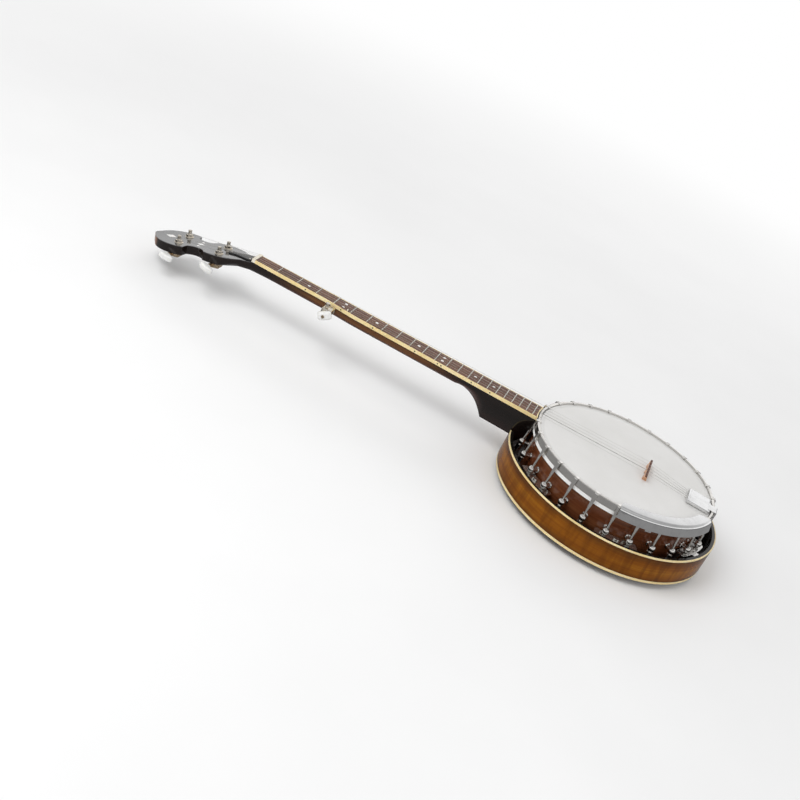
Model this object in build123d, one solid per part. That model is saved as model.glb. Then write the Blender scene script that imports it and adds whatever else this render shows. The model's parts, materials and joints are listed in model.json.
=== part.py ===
from build123d import *
import os
from math import cos, radians, sin, tan

# Five-string resonator banjo. Millimetres. The origin is on the axis of the round pot, in the plane the
# resonator's back rests on. +Z points out of the drum head, -X along the neck to the headstock, and -Y is
# the side with the short fifth string.

# Strings and neck
SCALE = 667.0
FRETS = 22
NUT_X = -633.7
NUT_Z = 86.2
NECK_PITCH = 1.04
FINGERBOARD_THICKNESS = 5.0
BINDING = 1.8
FAR_EDGE_AT_NUT = 14.3
FAR_EDGE_AT_END = 21.8
NEAR_EDGE_AT_NUT = -13.6
NEAR_EDGE_BEFORE_FLARE = -14.1
NEAR_EDGE_AFTER_FLARE = -18.6
NEAR_EDGE_AT_END = -21.1
FLARE_START = 122.0
FLARE_END = 181.5
NECK_DEPTH = 20.5
VOLUTE = 1.6
VOLUTE_END = 42.0
NUT_WIDTH = 5.5
HEEL_START = 355.0
HEEL_CORNER = 411.0
HEEL_DEPTH = 50.6
HEEL_FLAT = 8.5
NECK_END = 496.0
TRUSS_Z = -13.0

# Headstock
HEADSTOCK_ANGLE = 13.0
HEADSTOCK_DROP = 4.5
HEADSTOCK_THICKNESS = 14.0
OVERLAY = 1.2
OVERLAY_START = 6.0
HEADSTOCK_TIP = 174.5
COVER_SCREWS = [(10.5, 7.5), (10.5, -7.5), (44.5, 0)]

# Tuning machines: distance along the headstock, offset across it, side, and rest turn of the button
TUNERS = [(58.5, 16.5, 1, -28), (126.0, 18.5, 1, -18), (58.5, -16.5, -1, 20), (126.0, -18.5, -1, 10)]
POST_RADIUS = 3.0
POST_HEIGHT = 11.0
STRING_HOLE = 7.1
RUNNING_GAP = 0.05
WORM_OFFSET = 6.4
WORM_DEPTH = -HEADSTOCK_THICKNESS - 3.9
WORM_RADIUS = 2.0
GEAR_RADIUS = 4.2
MACHINE_SCREW_X = -10.9
BUTTON_CENTRE = 27.5
BUTTON_HALF_WIDTH = 6.4
BUTTON_BORE_END = 3.5
FIFTH_SHANK = 140.0
FIFTH_HEIGHT = -9.2
FIFTH_POST_Y = -28.0
FIFTH_POST_OFFSET = 6.3
FIFTH_NUT_S = 162.0
FIFTH_NUT_Y = -13.6

# Pot
HEAD_Z = 94.0
HEAD_THICKNESS = 0.35
RIM_RADIUS = 139.7
RIM_INNER = 121.0
RIM_BOTTOM = 24.0
RIM_TOP = 86.0
COLLAR_RADIUS = 145.0
COLLAR_TOP = 85.0
COLLAR_BOTTOM = 79.0
HOOP_INNER = 140.8
HOOP_OUTER = 145.6
HOOP_TOP = 96.5
NECK_GAP = 0.8
NOTCH_FLOOR = 94.2
HOOK_FIRST = 12.5
HOOK_STEP = 13.9
HOOKS_PER_SIDE = 12
SHANK_RADIUS = 1.9
SHOE_RADIUS = 151.0
SHOE_Z = 55.0
HOOK_TOP_RADIUS = 147.4
HOOK_TOP_Z = 92.0
HOOK_LEAN = (SHOE_RADIUS - HOOK_TOP_RADIUS) / (HOOK_TOP_Z - SHOE_Z)
BALL_RADIUS = 5.5
SHOE_BOLT_RADIUS = 2.45
ROD_HEIGHTS = (50.5, 65.0)

# Resonator
RESONATOR_RADIUS = 171.5
RESONATOR_WALL = 6.5
RESONATOR_TOP = 53.4
RESONATOR_FLAT = 136.0
BACK_THICKNESS = 4.5
BACK_EDGE_Z = 9.0
PLATE_PAIRS = (2, 6, 10)
PLATE_Z = 47.9
PLATE_THICKNESS = 1.5
SCREW_RADIUS_POSITION = 152.0

# Bridge, tailpiece and armrest
BRIDGE_X = 33.2
BRIDGE_HEIGHT = 10.0
BRIDGE_LENGTH = 62.0
BRIDGE_CAP = 1.6
TAIL_FRONT = 100.6
TAIL_BASE_Z = 94.9
TAIL_BASE_TOP = 96.6
TAIL_CROWN = 99.5
TAIL_PIN_X = 135.5
TAIL_PIN_Z = 96.9
TAIL_PIN_RADIUS = 0.8
TAIL_HALF_WIDTH = 21.2
TAIL_WALL = 1.2
TAIL_PEG_X = 116.0
ARMREST_MIDDLE = 130.0
ARMREST_SPAN = 67.0
ARMREST_INNER = 131.0
ARMREST_OUTER = 154.6
ARMREST_TOP = 98.7
ARMREST_BOTTOM = 83.0
ARMREST_SHEET = 1.5

STRING_RADII = [0.15, 0.18, 0.22, 0.34, 0.15]
NUT_STRING_Y = [11.0, 3.8, -3.4, -10.6]
BRIDGE_STRING_Y = [21.0, 10.5, 0.0, -10.5, -21.0]
TAIL_STRING_Z = 97.5
TAIL_STRING_Y = [13.0, 6.5, 0.0, -6.5, -13.0]

NECK = Pos(NUT_X, 0, NUT_Z) * Rot(0, -NECK_PITCH, 0)
HEADSTOCK = Pos(0, 0, -HEADSTOCK_DROP) * Rot(0, -HEADSTOCK_ANGLE, 0) * Rot(0, 0, 180)


def fret_position(number):
    return SCALE * (1 - 2 ** (-number / 12))


def fret_space(number):
    return (fret_position(number) + fret_position(number - 1)) / 2


def far_edge(s):
    return FAR_EDGE_AT_NUT + (FAR_EDGE_AT_END - FAR_EDGE_AT_NUT) * s / fret_position(FRETS)


def near_edge(s):
    if s <= FLARE_START:
        return NEAR_EDGE_AT_NUT + (NEAR_EDGE_BEFORE_FLARE - NEAR_EDGE_AT_NUT) * s / FLARE_START
    if s < FLARE_END:
        t = (s - FLARE_START) / (FLARE_END - FLARE_START)
        blend = t * t * (3 - 2 * t)
        return NEAR_EDGE_BEFORE_FLARE + (NEAR_EDGE_AFTER_FLARE - NEAR_EDGE_BEFORE_FLARE) * blend
    t = (s - FLARE_END) / (fret_position(FRETS) - FLARE_END)
    return NEAR_EDGE_AFTER_FLARE + (NEAR_EDGE_AT_END - NEAR_EDGE_AFTER_FLARE) * t


def save(name, *shapes):
    solids = [solid for shape in shapes for solid in shape.solids()]
    export_step(solids[0] if len(solids) == 1 else Compound(solids), f"parts/{name}.step")


def disc(radius, bottom, top):
    return Pos(0, 0, bottom) * extrude(Circle(radius), top - bottom)


def ring(inner, outer, bottom, top):
    return Pos(0, 0, bottom) * extrude(Circle(outer) - Circle(inner), top - bottom)


def block(x0, x1, y0, y1, z0, z1):
    return Pos((x0 + x1) / 2, (y0 + y1) / 2, (z0 + z1) / 2) * Box(x1 - x0, y1 - y0, z1 - z0)


def turned(*points):
    return revolve(Plane.XZ * Polygon(*points, align=None), Axis.Z)


def rod(start, end, radius):
    reach = Vector(*end) - Vector(*start)
    return Plane(origin=start, z_dir=reach) * extrude(Circle(radius), reach.length)


def hexagon(start, end, across_flats):
    reach = Vector(*end) - Vector(*start)
    return Plane(origin=start, z_dir=reach) * extrude(
        RegularPolygon(across_flats / 2, 6, major_radius=False), reach.length
    )


def side_view(points, half_width):
    face = Plane.XZ * Polygon(*points, align=None)
    return extrude(face, half_width, both=True)


def around(angle):
    """Turn a piece built along +X to an angle measured from the neck towards the near side."""
    return Rot(0, 0, 180 + angle)


def hook_angles():
    return [side * (HOOK_FIRST + HOOK_STEP * k) for side in (1, -1) for k in range(HOOKS_PER_SIDE)]


def plate_angles():
    return [side * (HOOK_FIRST + HOOK_STEP * (k + 0.5)) for side in (1, -1) for k in PLATE_PAIRS]


def plated(angle):
    index = round((abs(angle) - HOOK_FIRST) / HOOK_STEP)
    return index in PLATE_PAIRS or index - 1 in PLATE_PAIRS


# --- Neck and headstock -------------------------------------------------------------------------------


def neck_section(plane, near, far, top, bottom, flat, lean):
    """D-shaped outline across the neck: flat top, curved sides, narrow flat along the back."""
    middle = (near + far) / 2
    outline = [
        Line((near, top), (far, top)),
        Spline((far, top), (middle + flat, bottom), tangents=[(0, -1), (-1, -lean)]),
        Line((middle + flat, bottom), (middle - flat, bottom)),
        Spline((middle - flat, bottom), (near, top), tangents=[(-1, lean), (0, 1)]),
    ]
    return plane * make_face(outline)


def shaft_section(s, depth, flat, lean=0.0):
    plane = Plane(origin=(s, 0, 0), x_dir=(0, 1, 0), z_dir=(1, 0, 0))
    edge = min(max(s, 0), fret_position(FRETS))
    return neck_section(plane, near_edge(edge), far_edge(edge), -FINGERBOARD_THICKNESS, -depth, flat, lean)


def back_depth(s):
    """Depth of the shaft below the fingerboard's top; it swells a little behind the nut."""
    swell = max(0, (VOLUTE_END - s) / (VOLUTE_END + NUT_WIDTH))
    return NECK_DEPTH + VOLUTE * swell ** 2


def heel_section(s):
    t = (s - HEEL_START) / (HEEL_CORNER - HEEL_START)
    depth = NECK_DEPTH + (HEEL_DEPTH - NECK_DEPTH) * t ** 2.7
    flat = 3 + (HEEL_FLAT - 3) * t
    return shaft_section(s, depth, flat, 2.2 * t)


def headstock_face(start):
    """Fiddle-shaped outline with two lobes, a narrow waist and a blunt tip."""
    tip = HEADSTOCK_TIP
    half = [
        Line((start, 0), (start, 14.2)),
        Line((start, 14.2), (24, 16.4)),
        Spline((24, 16.4), (38, 25.8), (57, 30.2), (80, 27)),
        Line((80, 27), (84, 21.5)),
        ThreePointArc((84, 21.5), (97.5, 17.8), (110, 22)),
        Line((110, 22), (112, 33.5)),
        ThreePointArc((112, 33.5), (130, 36), (148, 31.8)),
        ThreePointArc((148, 31.8), (162, 22.4), (169.5, 11)),
        Line((169.5, 11), (tip, 3)),
        Line((tip, 3), (tip, 0)),
        Line((tip, 0), (start, 0)),
    ]
    face = make_face(half)
    return face + mirror(face, about=Plane.XZ)


def tuner_place(s, y, side):
    """Frame of one tuning machine: origin on the post at the overlay's face, x outwards, z up."""
    return NECK * HEADSTOCK * Pos(s, y, 0) * Rot(0, 0, 90 * side)


def pot_clearance():
    hoop_room = disc(HOOP_OUTER + NECK_GAP, 77, 130)
    return disc(RIM_RADIUS + 0.05, 0, 78) + hoop_room


def make_neck():
    stations = [-NUT_WIDTH, 4, 14, 26, VOLUTE_END, FLARE_START]
    stations += [132, 142, 152, 162, 172, FLARE_END, HEEL_START]
    shaft = loft([shaft_section(s, back_depth(s), 3) for s in stations], ruled=True)
    heel = loft([heel_section(s) for s in (HEEL_START, 366, 376, 385, 393, 400, 406, HEEL_CORNER)])
    foot = loft([
        shaft_section(HEEL_CORNER, HEEL_DEPTH, HEEL_FLAT, 2.2),
        shaft_section(NECK_END, HEEL_DEPTH + 1.6, HEEL_FLAT, 2.2),
    ])
    throat_plane = Plane(origin=(28, 0, 0), x_dir=(0, -1, 0), z_dir=(-1, 0, 0))
    throat_end = neck_section(throat_plane, -17.4, 17.4, -OVERLAY, -HEADSTOCK_THICKNESS, 7, 0)
    throat_end = HEADSTOCK * throat_end
    throat = loft([throat_end, shaft_section(-NUT_WIDTH, back_depth(-NUT_WIDTH), 3)], ruled=True)
    plate = extrude(headstock_face(26), HEADSTOCK_THICKNESS - OVERLAY)
    plate = Pos(0, 0, -HEADSTOCK_THICKNESS) * plate
    for side in (1, -1):
        bevel = Plane(origin=(52, 29 * side, -HEADSTOCK_THICKNESS), z_dir=(-138, 168 * side, -280))
        plate -= bevel * Pos(0, 0, 40) * Box(120, 120, 80)
    plate = HEADSTOCK * plate
    overlay_room = HEADSTOCK * block(OVERLAY_START - 0.3, 200, -60, 60, -OVERLAY, 40)
    body = NECK * (shaft + heel + foot + throat + plate - overlay_room)
    body -= pot_clearance()
    for s, y, side, turn in TUNERS:
        body -= tuner_place(s, y, side) * disc(5.0, -HEADSTOCK_THICKNESS - 5, 5)
        body -= tuner_place(s, y, side) * Pos(MACHINE_SCREW_X, 0, 0) * disc(1.1, -HEADSTOCK_THICKNESS - 1, -8)
    body -= NECK * rod((-20, 0, TRUSS_Z), (400.2, 0, TRUSS_Z), 2.6)
    body -= NECK * truss_pocket()
    body -= NECK * rod((FIFTH_SHANK, -40, FIFTH_HEIGHT), (FIFTH_SHANK, -4, FIFTH_HEIGHT), 3.8)
    for height in ROD_HEIGHTS:
        body -= rod((-182, 0, height), (-130, 0, height), 3.05)
    return body


def make_overlay():
    overlay = HEADSTOCK * Pos(0, 0, -OVERLAY) * extrude(headstock_face(OVERLAY_START), OVERLAY)
    overlay = NECK * overlay
    for s, y, side, turn in TUNERS:
        overlay -= tuner_place(s, y, side) * disc(5.0, -5, 5)
    overlay -= NECK * truss_pocket()
    for s, y in COVER_SCREWS:
        overlay -= NECK * HEADSTOCK * Pos(s, y, 0) * disc(0.9, -2, 1)
    return overlay


def truss_pocket():
    return block(-30, -8, -5.2, 5.2, TRUSS_Z - 4.2, -2)


def inlay_shapes():
    """Plain ornament for the headstock: a lozenge near the tip and three small lozenges at the waist."""
    tip_mark = Pos(148, 0) * Polygon((-9, 0), (0, -6), (9, 0), (0, 6), align=None)
    waist = Pos(97, 0) * Polygon((-6, 0), (0, -4), (6, 0), (0, 4), align=None)
    small = Polygon((-3, 0), (0, -2.2), (3, 0), (0, 2.2), align=None)
    return [tip_mark, waist, Pos(97, 9.5) * small, Pos(97, -9.5) * small]


def make_headstock_inlay():
    return [NECK * HEADSTOCK * Pos(0, 0, -0.8) * extrude(shape, 0.8) for shape in inlay_shapes()]


def make_truss_cover():
    outline = [
        Line((7, -11), (7, 11)),
        Spline((7, 11), (20, 9), (33, 5.2), (41, 4.6), tangents=[(1, 0), (1, 0.2)]),
        ThreePointArc((41, 4.6), (49.5, 0), (41, -4.6)),
        Spline((41, -4.6), (33, -5.2), (20, -9), (7, -11), tangents=[(-1, 0.2), (-1, 0)]),
    ]
    cover = extrude(make_face(outline), 2.0)
    cover = chamfer(cover.faces().sort_by(Axis.Z)[-1].edges(), 0.5)
    for s, y in COVER_SCREWS:
        cover -= Pos(s, y, 0) * disc(0.9, -1, 3)
    return NECK * HEADSTOCK * cover


def make_cover_screws():
    head = Pos(0, 0, 2.0) * (Sphere(2.0) & block(-3, 3, -3, 3, 0, 1.1))
    screw = head + disc(0.8, -1.1, 2.1) - block(-3, 3, -0.25, 0.25, 2.6, 4)
    return [NECK * HEADSTOCK * Pos(s, y, 0) * screw for s, y in COVER_SCREWS]


def make_truss_rod():
    bar = rod((-9.1, 0, TRUSS_Z), (400, 0, TRUSS_Z), 2.5)
    bar += rod((-12.4, 0, TRUSS_Z), (-9, 0, TRUSS_Z), 2.0)
    return NECK * bar


def make_truss_nut():
    body = hexagon((-16.4, 0, TRUSS_Z), (-9.3, 0, TRUSS_Z), 6.5)
    body -= rod((-17, 0, TRUSS_Z), (-13.6, 0, TRUSS_Z), 1.6)
    return NECK * (body - rod((-12.6, 0, TRUSS_Z), (-9, 0, TRUSS_Z), 2.0 + RUNNING_GAP))


# --- Fingerboard --------------------------------------------------------------------------------------


def board_face(inset):
    """Plan of the fingerboard; inset moves both long edges inwards by the width of the binding."""
    end = NECK_END
    near_end = near_edge(end)
    outline = [
        Line((0, far_edge(0) - inset), (end, far_edge(end) - inset)),
        Line((end, far_edge(end) - inset), (end, near_end + inset)),
        Line((end, near_end + inset), (FLARE_END, near_edge(FLARE_END) + inset)),
        Spline(
            (FLARE_END, near_edge(FLARE_END) + inset),
            (FLARE_START, near_edge(FLARE_START) + inset),
            tangents=[(-1, 0.01), (-1, 0.01)],
        ),
        Line((FLARE_START, near_edge(FLARE_START) + inset), (0, near_edge(0) + inset)),
        Line((0, near_edge(0) + inset), (0, far_edge(0) - inset)),
    ]
    return make_face(outline)


def board_blank(inset, end_radius):
    plate = Pos(0, 0, -FINGERBOARD_THICKNESS) * extrude(board_face(inset), FINGERBOARD_THICKNESS)
    return NECK * plate - disc(end_radius, 60, 120)


def board_dots():
    places = [(n, 0) for n in (3, 7, 10, 15, 17)]
    places += [(n, y) for n in (5, 12) for y in (-6.5, 6.5)]
    return [NECK * Pos(fret_space(n), y, 0) * disc(2.5, -1.2, 1) for n, y in places]


def edge_dots():
    dots = []
    for number, shifts in {3: (0,), 5: (0,), 7: (0,), 10: (0,), 12: (-3, 3), 15: (0,), 17: (0,)}.items():
        for shift in shifts:
            s = fret_space(number) + shift
            y = near_edge(s)
            dots.append(NECK * rod((s, y - 1, -2.4), (s, y + 1.1, -2.4), 1.1))
    return dots


def make_frets():
    frets = []
    for number in range(1, FRETS + 1):
        s = fret_position(number)
        near = near_edge(s) + BINDING + 0.1
        far = far_edge(s) - BINDING - 0.1
        crown = make_face([ThreePointArc((-1.1, 0), (0, 1.0), (1.1, 0)), Line((1.1, 0), (-1.1, 0))])
        tang = Polygon((-0.28, 0.05), (-0.28, -1.6), (0.28, -1.6), (0.28, 0.05), align=None)
        profile = Plane(origin=(s, far, 0), x_dir=(1, 0, 0), z_dir=(0, -1, 0)) * (crown + tang)
        frets.append(NECK * extrude(profile, far - near))
    return frets


def make_board():
    blank = board_blank(BINDING, HOOP_OUTER + NECK_GAP + BINDING)
    binding_blank = board_blank(0, HOOP_OUTER + NECK_GAP) - blank
    markers = [blank & dot for dot in board_dots()]
    dots = [binding_blank & dot for dot in edge_dots()]
    board = blank
    for dot in board_dots():
        board -= dot
    for number in range(1, FRETS + 1):
        s = fret_position(number)
        near = near_edge(s) + BINDING + 0.05
        board -= NECK * block(s - 0.3, s + 0.3, near, far_edge(s) - BINDING - 0.05, -1.65, 1)
    board -= NECK * Pos(FIFTH_NUT_S, FIFTH_NUT_Y, 0) * disc(1.2, -3, 1)
    binding = binding_blank
    for dot in edge_dots():
        binding -= dot
    return board, binding, markers, dots


def make_fifth_nut():
    peg = disc(1.2, -3, 2.6) - block(-3, 3, -0.5, 0.5, 0.8, 4)
    return NECK * Pos(FIFTH_NUT_S, FIFTH_NUT_Y, 0) * peg


def make_nut():
    points = [(-NUT_WIDTH, -5), (0, -5), (0, 1.5), (-1.2, 1.7), (-NUT_WIDTH, 0.9)]
    body = extrude(Plane.XZ * Polygon(*points, align=None), 30, both=True)
    body &= block(-NUT_WIDTH, 0, near_edge(0), far_edge(0), -6, 6)
    for y, radius in zip(NUT_STRING_Y, STRING_RADII):
        body -= block(-NUT_WIDTH - 1, 1, y - radius - 0.15, y + radius + 0.15, 0.4, 6)
    return NECK * body


# --- Tuning machines ----------------------------------------------------------------------------------


def make_post():
    depth = WORM_DEPTH
    shape = turned(
        (0, depth - 2.6), (2.2, depth - 2.6), (2.2, depth - 1.9), (GEAR_RADIUS, depth - 1.9),
        (GEAR_RADIUS, depth + 1.9), (POST_RADIUS, depth + 1.9), (POST_RADIUS, 4.8), (2.6, 5.5), (2.6, 8.7),
        (POST_RADIUS, 9.3),
        (POST_RADIUS, POST_HEIGHT - 0.5), (2.5, POST_HEIGHT), (0, POST_HEIGHT),
    )
    return shape - rod((-5, 0, STRING_HOLE), (5, 0, STRING_HOLE), 0.9)


def make_bushing():
    limit = turned((0, 0.8), (5.8, 0.8), (5.8, 3.7), (5.0, 4.2), (0, 4.2))
    body = hexagon((0, 0, 0.8), (0, 0, 4.2), 10.0) & limit
    return body + disc(4.9, -7, 0.9) - disc(POST_RADIUS + RUNNING_GAP, -8, 5)


def make_washer():
    body = turned((0, 0.0), (7.2, 0.0), (7.2, 0.4), (6.7, 0.8), (0, 0.8))
    return body - disc(5.0, -1, 2)


def make_housing(hand):
    """Closed gear case under the headstock, with a collar round the worm shaft and a fixing ear."""
    top = -HEADSTOCK_THICKNESS
    depth = WORM_DEPTH
    case = block(-8.2, 10, min(-5.9, hand * 9.4), max(5.9, hand * 9.4), depth - 3.9, top)
    case = fillet(case.edges().filter_by(Axis.Z), 3.0)
    case = fillet(case.faces().sort_by(Axis.Z)[0].edges(), 1.4)
    ear = Pos(MACHINE_SCREW_X, 0, 0) * disc(3.0, top - 1.6, top)
    ear += block(MACHINE_SCREW_X, -7, -3, 3, top - 1.6, top)
    y = hand * WORM_OFFSET
    collar = rod((9, y, depth), (16, y, depth), 3.2) + rod((15, y, depth), (17, y, depth), 3.7)
    case += ear + collar
    case -= Pos(MACHINE_SCREW_X, 0, 0) * disc(1.3, top - 3, top + 1)
    case -= disc(GEAR_RADIUS + 0.4, depth - 2.2, depth + 2.3)
    case -= disc(2.2 + RUNNING_GAP, depth - 2.9, depth - 2)
    case -= disc(POST_RADIUS + RUNNING_GAP, depth + 2, top + 1)
    case -= rod((-5.9, y, depth), (5.9, y, depth), WORM_RADIUS + 0.15)
    case -= rod((-7.1, y, depth), (20, y, depth), 1.6 + RUNNING_GAP)
    return case


def make_worm(hand):
    y = hand * WORM_OFFSET
    shaft = rod((-6.8, y, WORM_DEPTH), (BUTTON_CENTRE + BUTTON_BORE_END, y, WORM_DEPTH), 1.6)
    shaft += rod((-5.6, y, WORM_DEPTH), (5.6, y, WORM_DEPTH), WORM_RADIUS)
    return shaft + rod((17.3, y, WORM_DEPTH), (18.3, y, WORM_DEPTH), 2.6)


def oval_button(half_width, half_length, half_thickness, rounding, bore_end):
    """Oval finger button with its turning axis along x and its long axis along y."""
    body = extrude(Ellipse(half_width, half_length), half_thickness, both=True)
    body = fillet(body.faces().filter_by(Axis.Z).edges(), rounding)
    return body - rod((-20, 0, 0), (bore_end, 0, 0), 1.6)


def make_button():
    collar = rod((-8.8, 0, 0), (-4.5, 0, 0), 3.1) - rod((-20, 0, 0), (BUTTON_BORE_END, 0, 0), 1.6)
    return oval_button(BUTTON_HALF_WIDTH, 11.8, 4.8, 3.2, BUTTON_BORE_END) + collar


def make_machine_screw():
    low = -HEADSTOCK_THICKNESS - 1.6
    head = Pos(0, 0, low) * (Sphere(2.4) & block(-3, 3, -3, 3, -1.5, 0))
    slot = block(-3, 3, -0.3, 0.3, low - 3, low - 1)
    return Pos(MACHINE_SCREW_X, 0, 0) * (head + disc(1.05, low - 0.1, -8.5) - slot)


def save_tuners():
    housings, bushings, washers, screws = [], [], [], []
    for number, (s, y, side, turn) in enumerate(TUNERS, 1):
        place = tuner_place(s, y, side)
        hand = -side
        save(f"tuner_post_{number}", place * make_post())
        save(f"tuner_worm_{number}", place * make_worm(hand))
        button = Pos(BUTTON_CENTRE, hand * WORM_OFFSET, WORM_DEPTH) * Rot(turn, 0, 0) * make_button()
        save(f"tuner_button_{number}", place * button)
        housings.append(place * make_housing(hand))
        bushings.append(place * make_bushing())
        washers.append(place * make_washer())
        screws.append(place * make_machine_screw())
    save("tuner_housings", *housings)
    save("tuner_bushings", *bushings)
    save("tuner_washers", *washers)
    save("tuner_screws", *screws)


def fifth_place():
    """Frame of the fifth-string machine: origin on its shank at the neck centre line, x outwards."""
    return NECK * Pos(FIFTH_SHANK, 0, FIFTH_HEIGHT) * Rot(0, 0, -90)


def make_fifth_housing():
    case = block(20, 37, -11.0, 4.8, -5.2, 5.2)
    case = fillet(case.edges(), 2.0)
    collar = rod((16.6, 0, 0), (21, 0, 0), 6.0)
    shank = rod((4.2, 0, 0), (17, 0, 0), 3.75)
    case += collar + shank + rod((36, 0, 0), (39.6, 0, 0), 4.2)
    case -= Pos(-FIFTH_POST_Y, -FIFTH_POST_OFFSET, 0) * disc(3.6, -3.6, 2.3)
    case -= Pos(-FIFTH_POST_Y, -FIFTH_POST_OFFSET, 0) * disc(2.9 + RUNNING_GAP, 2, 8)
    case -= rod((22.2, 0, 0), (34.8, 0, 0), 2.7)
    case -= rod((21, 0, 0), (42, 0, 0), 1.55 + RUNNING_GAP)
    return case


def make_fifth_post():
    shape = turned(
        (0, -3.4), (3.4, -3.4), (3.4, 2.1), (2.9, 2.1), (2.9, 6.4), (3.3, 7.0), (2.5, 7.8), (2.5, 9.6),
        (3.4, 10.4), (3.4, 11.4), (2.8, 12.0), (0, 12.0),
    )
    shape -= rod((-5, 0, 8.8), (5, 0, 8.8), 0.6)
    return Pos(-FIFTH_POST_Y, -FIFTH_POST_OFFSET, 0) * shape


def make_fifth_worm():
    shaft = rod((21.4, 0, 0), (55, 0, 0), 1.55) + rod((22.4, 0, 0), (34.6, 0, 0), 2.5)
    shaft += rod((39.8, 0, 0), (41.5, 0, 0), 2.8)
    cap = rod((54.9, 0, 0), (56.3, 0, 0), 2.4)
    return shaft + cap - block(55.7, 57.6, -0.35, 0.35, -4, 4)


def make_fifth_button():
    return Pos(48.2, 0, 0) * Rot(30, 0, 0) * oval_button(6.6, 11.2, 6.2, 3.3, 20)


# --- Pot ----------------------------------------------------------------------------------------------


def make_rim():
    rim = ring(RIM_INNER, RIM_RADIUS, RIM_BOTTOM, RIM_TOP)
    rim = chamfer(rim.edges().sort_by(Axis.Z)[:2], 1.5)
    for angle in hook_angles():
        rim -= around(angle) * rod((110, 0, SHOE_Z), (150, 0, SHOE_Z), SHOE_BOLT_RADIUS + 0.05)
    for height in ROD_HEIGHTS:
        rim -= rod((-150, 0, height), (-110, 0, height), 3.05)
        rim -= rod((110, 0, height), (150, 0, height), 3.05)
    return rim


def make_tone_hoop():
    profile = make_face([
        Line((133.2, RIM_TOP), (139.3, RIM_TOP)),
        Line((139.3, RIM_TOP), (139.3, 90.5)),
        ThreePointArc((139.3, 90.5), (136.25, 93.6), (133.2, 90.5)),
        Line((133.2, 90.5), (133.2, RIM_TOP)),
    ])
    return revolve(Plane.XZ * profile, Axis.Z)


def make_head():
    top = HEAD_Z
    under = HEAD_Z - HEAD_THICKNESS
    return turned(
        (0, under), (139.85, under), (140.2, under - 0.4), (140.2, COLLAR_TOP - 0.4),
        (144.6, COLLAR_TOP - 0.4), (144.6, COLLAR_BOTTOM), (COLLAR_RADIUS, COLLAR_BOTTOM),
        (COLLAR_RADIUS, COLLAR_TOP - 0.05),
        (140.6, COLLAR_TOP - 0.05), (140.6, under - 0.2), (140.1, top), (0, top),
    )


def make_tension_hoop():
    hoop = turned(
        (HOOP_INNER, COLLAR_TOP), (HOOP_OUTER, COLLAR_TOP), (HOOP_OUTER, 95.6),
        (HOOP_OUTER - 0.9, HOOP_TOP), (HOOP_INNER + 0.9, HOOP_TOP), (HOOP_INNER, 95.6),
    )
    for angle in hook_angles():
        hoop -= around(angle) * block(135, 150, -3.2, 3.2, NOTCH_FLOOR, 100)
    return hoop


def shank_radius_at(z):
    return SHOE_RADIUS - HOOK_LEAN * (z - SHOE_Z)


def shank_point(z):
    return (shank_radius_at(z), 0, z)


def make_hook():
    """Flat hook over the hoop that tapers into a round threaded shank."""
    low = 72
    outline = [
        Line((139.4, 94.35), (145.8, 94.35)),
        Line((145.8, 94.35), (shank_radius_at(93) - 1.1, 93)),
        Line((shank_radius_at(93) - 1.1, 93), (shank_radius_at(low) - 1.1, low)),
        Line((shank_radius_at(low) - 1.1, low), (shank_radius_at(low) + 1.1, low)),
        Line((shank_radius_at(low) + 1.1, low), (shank_radius_at(94) + 1.2, 94)),
        ThreePointArc((shank_radius_at(94) + 1.2, 94), (147.6, 96.2), (145.6, 96.8)),
        Line((145.6, 96.8), (139.9, 96.6)),
        ThreePointArc((139.9, 96.6), (139.2, 95.6), (139.4, 94.35)),
    ]
    flat = extrude(Plane.XZ * make_face(outline), 4, both=True)
    front = Polygon(
        (-2.75, 100), (-2.75, 86), (-1.95, low), (1.95, low), (2.75, 86), (2.75, 100), align=None,
    )
    flat &= Pos(130, 0, 0) * extrude(Plane.YZ * front, 30)
    return flat + rod(shank_point(76), shank_point(36), SHANK_RADIUS)


def make_shoe():
    ball = Pos(SHOE_RADIUS, 0, SHOE_Z) * Sphere(BALL_RADIUS)
    neck = rod((140, 0, SHOE_Z), (148, 0, SHOE_Z), 3.3)
    flange = rod((138, 0, SHOE_Z), (141.6, 0, SHOE_Z), 4.6)
    flange = chamfer(flange.faces().sort_by(Axis.X)[-1].edges(), 0.6)
    shoe = ball + neck + flange - disc(RIM_RADIUS + 0.03, 40, 70)
    shoe -= rod((135, 0, SHOE_Z), (146.4, 0, SHOE_Z), SHOE_BOLT_RADIUS + 0.05)
    return shoe - rod(shank_point(SHOE_Z - 12), shank_point(SHOE_Z + 12), SHANK_RADIUS + 0.1)


def make_shoe_bolt():
    head = hexagon((117.2, 0, SHOE_Z), (119.9, 0, SHOE_Z), 8.0)
    washer = rod((119.9, 0, SHOE_Z), (120.8, 0, SHOE_Z), 5.6)
    return head + washer + rod((119, 0, SHOE_Z), (146.0, 0, SHOE_Z), SHOE_BOLT_RADIUS)


def make_bracket_nut(drop):
    top = SHOE_Z - drop
    nut = hexagon(shank_point(top), shank_point(top - 9.5), 8.0)
    limit = rod(shank_point(top), shank_point(top - 9.5), 4.5)
    limit = chamfer(limit.faces().sort_by(Axis.Z)[0].edges(), 0.7)
    return (nut & limit) - rod(shank_point(top + 2), shank_point(top - 12), SHANK_RADIUS + 0.05)


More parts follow.
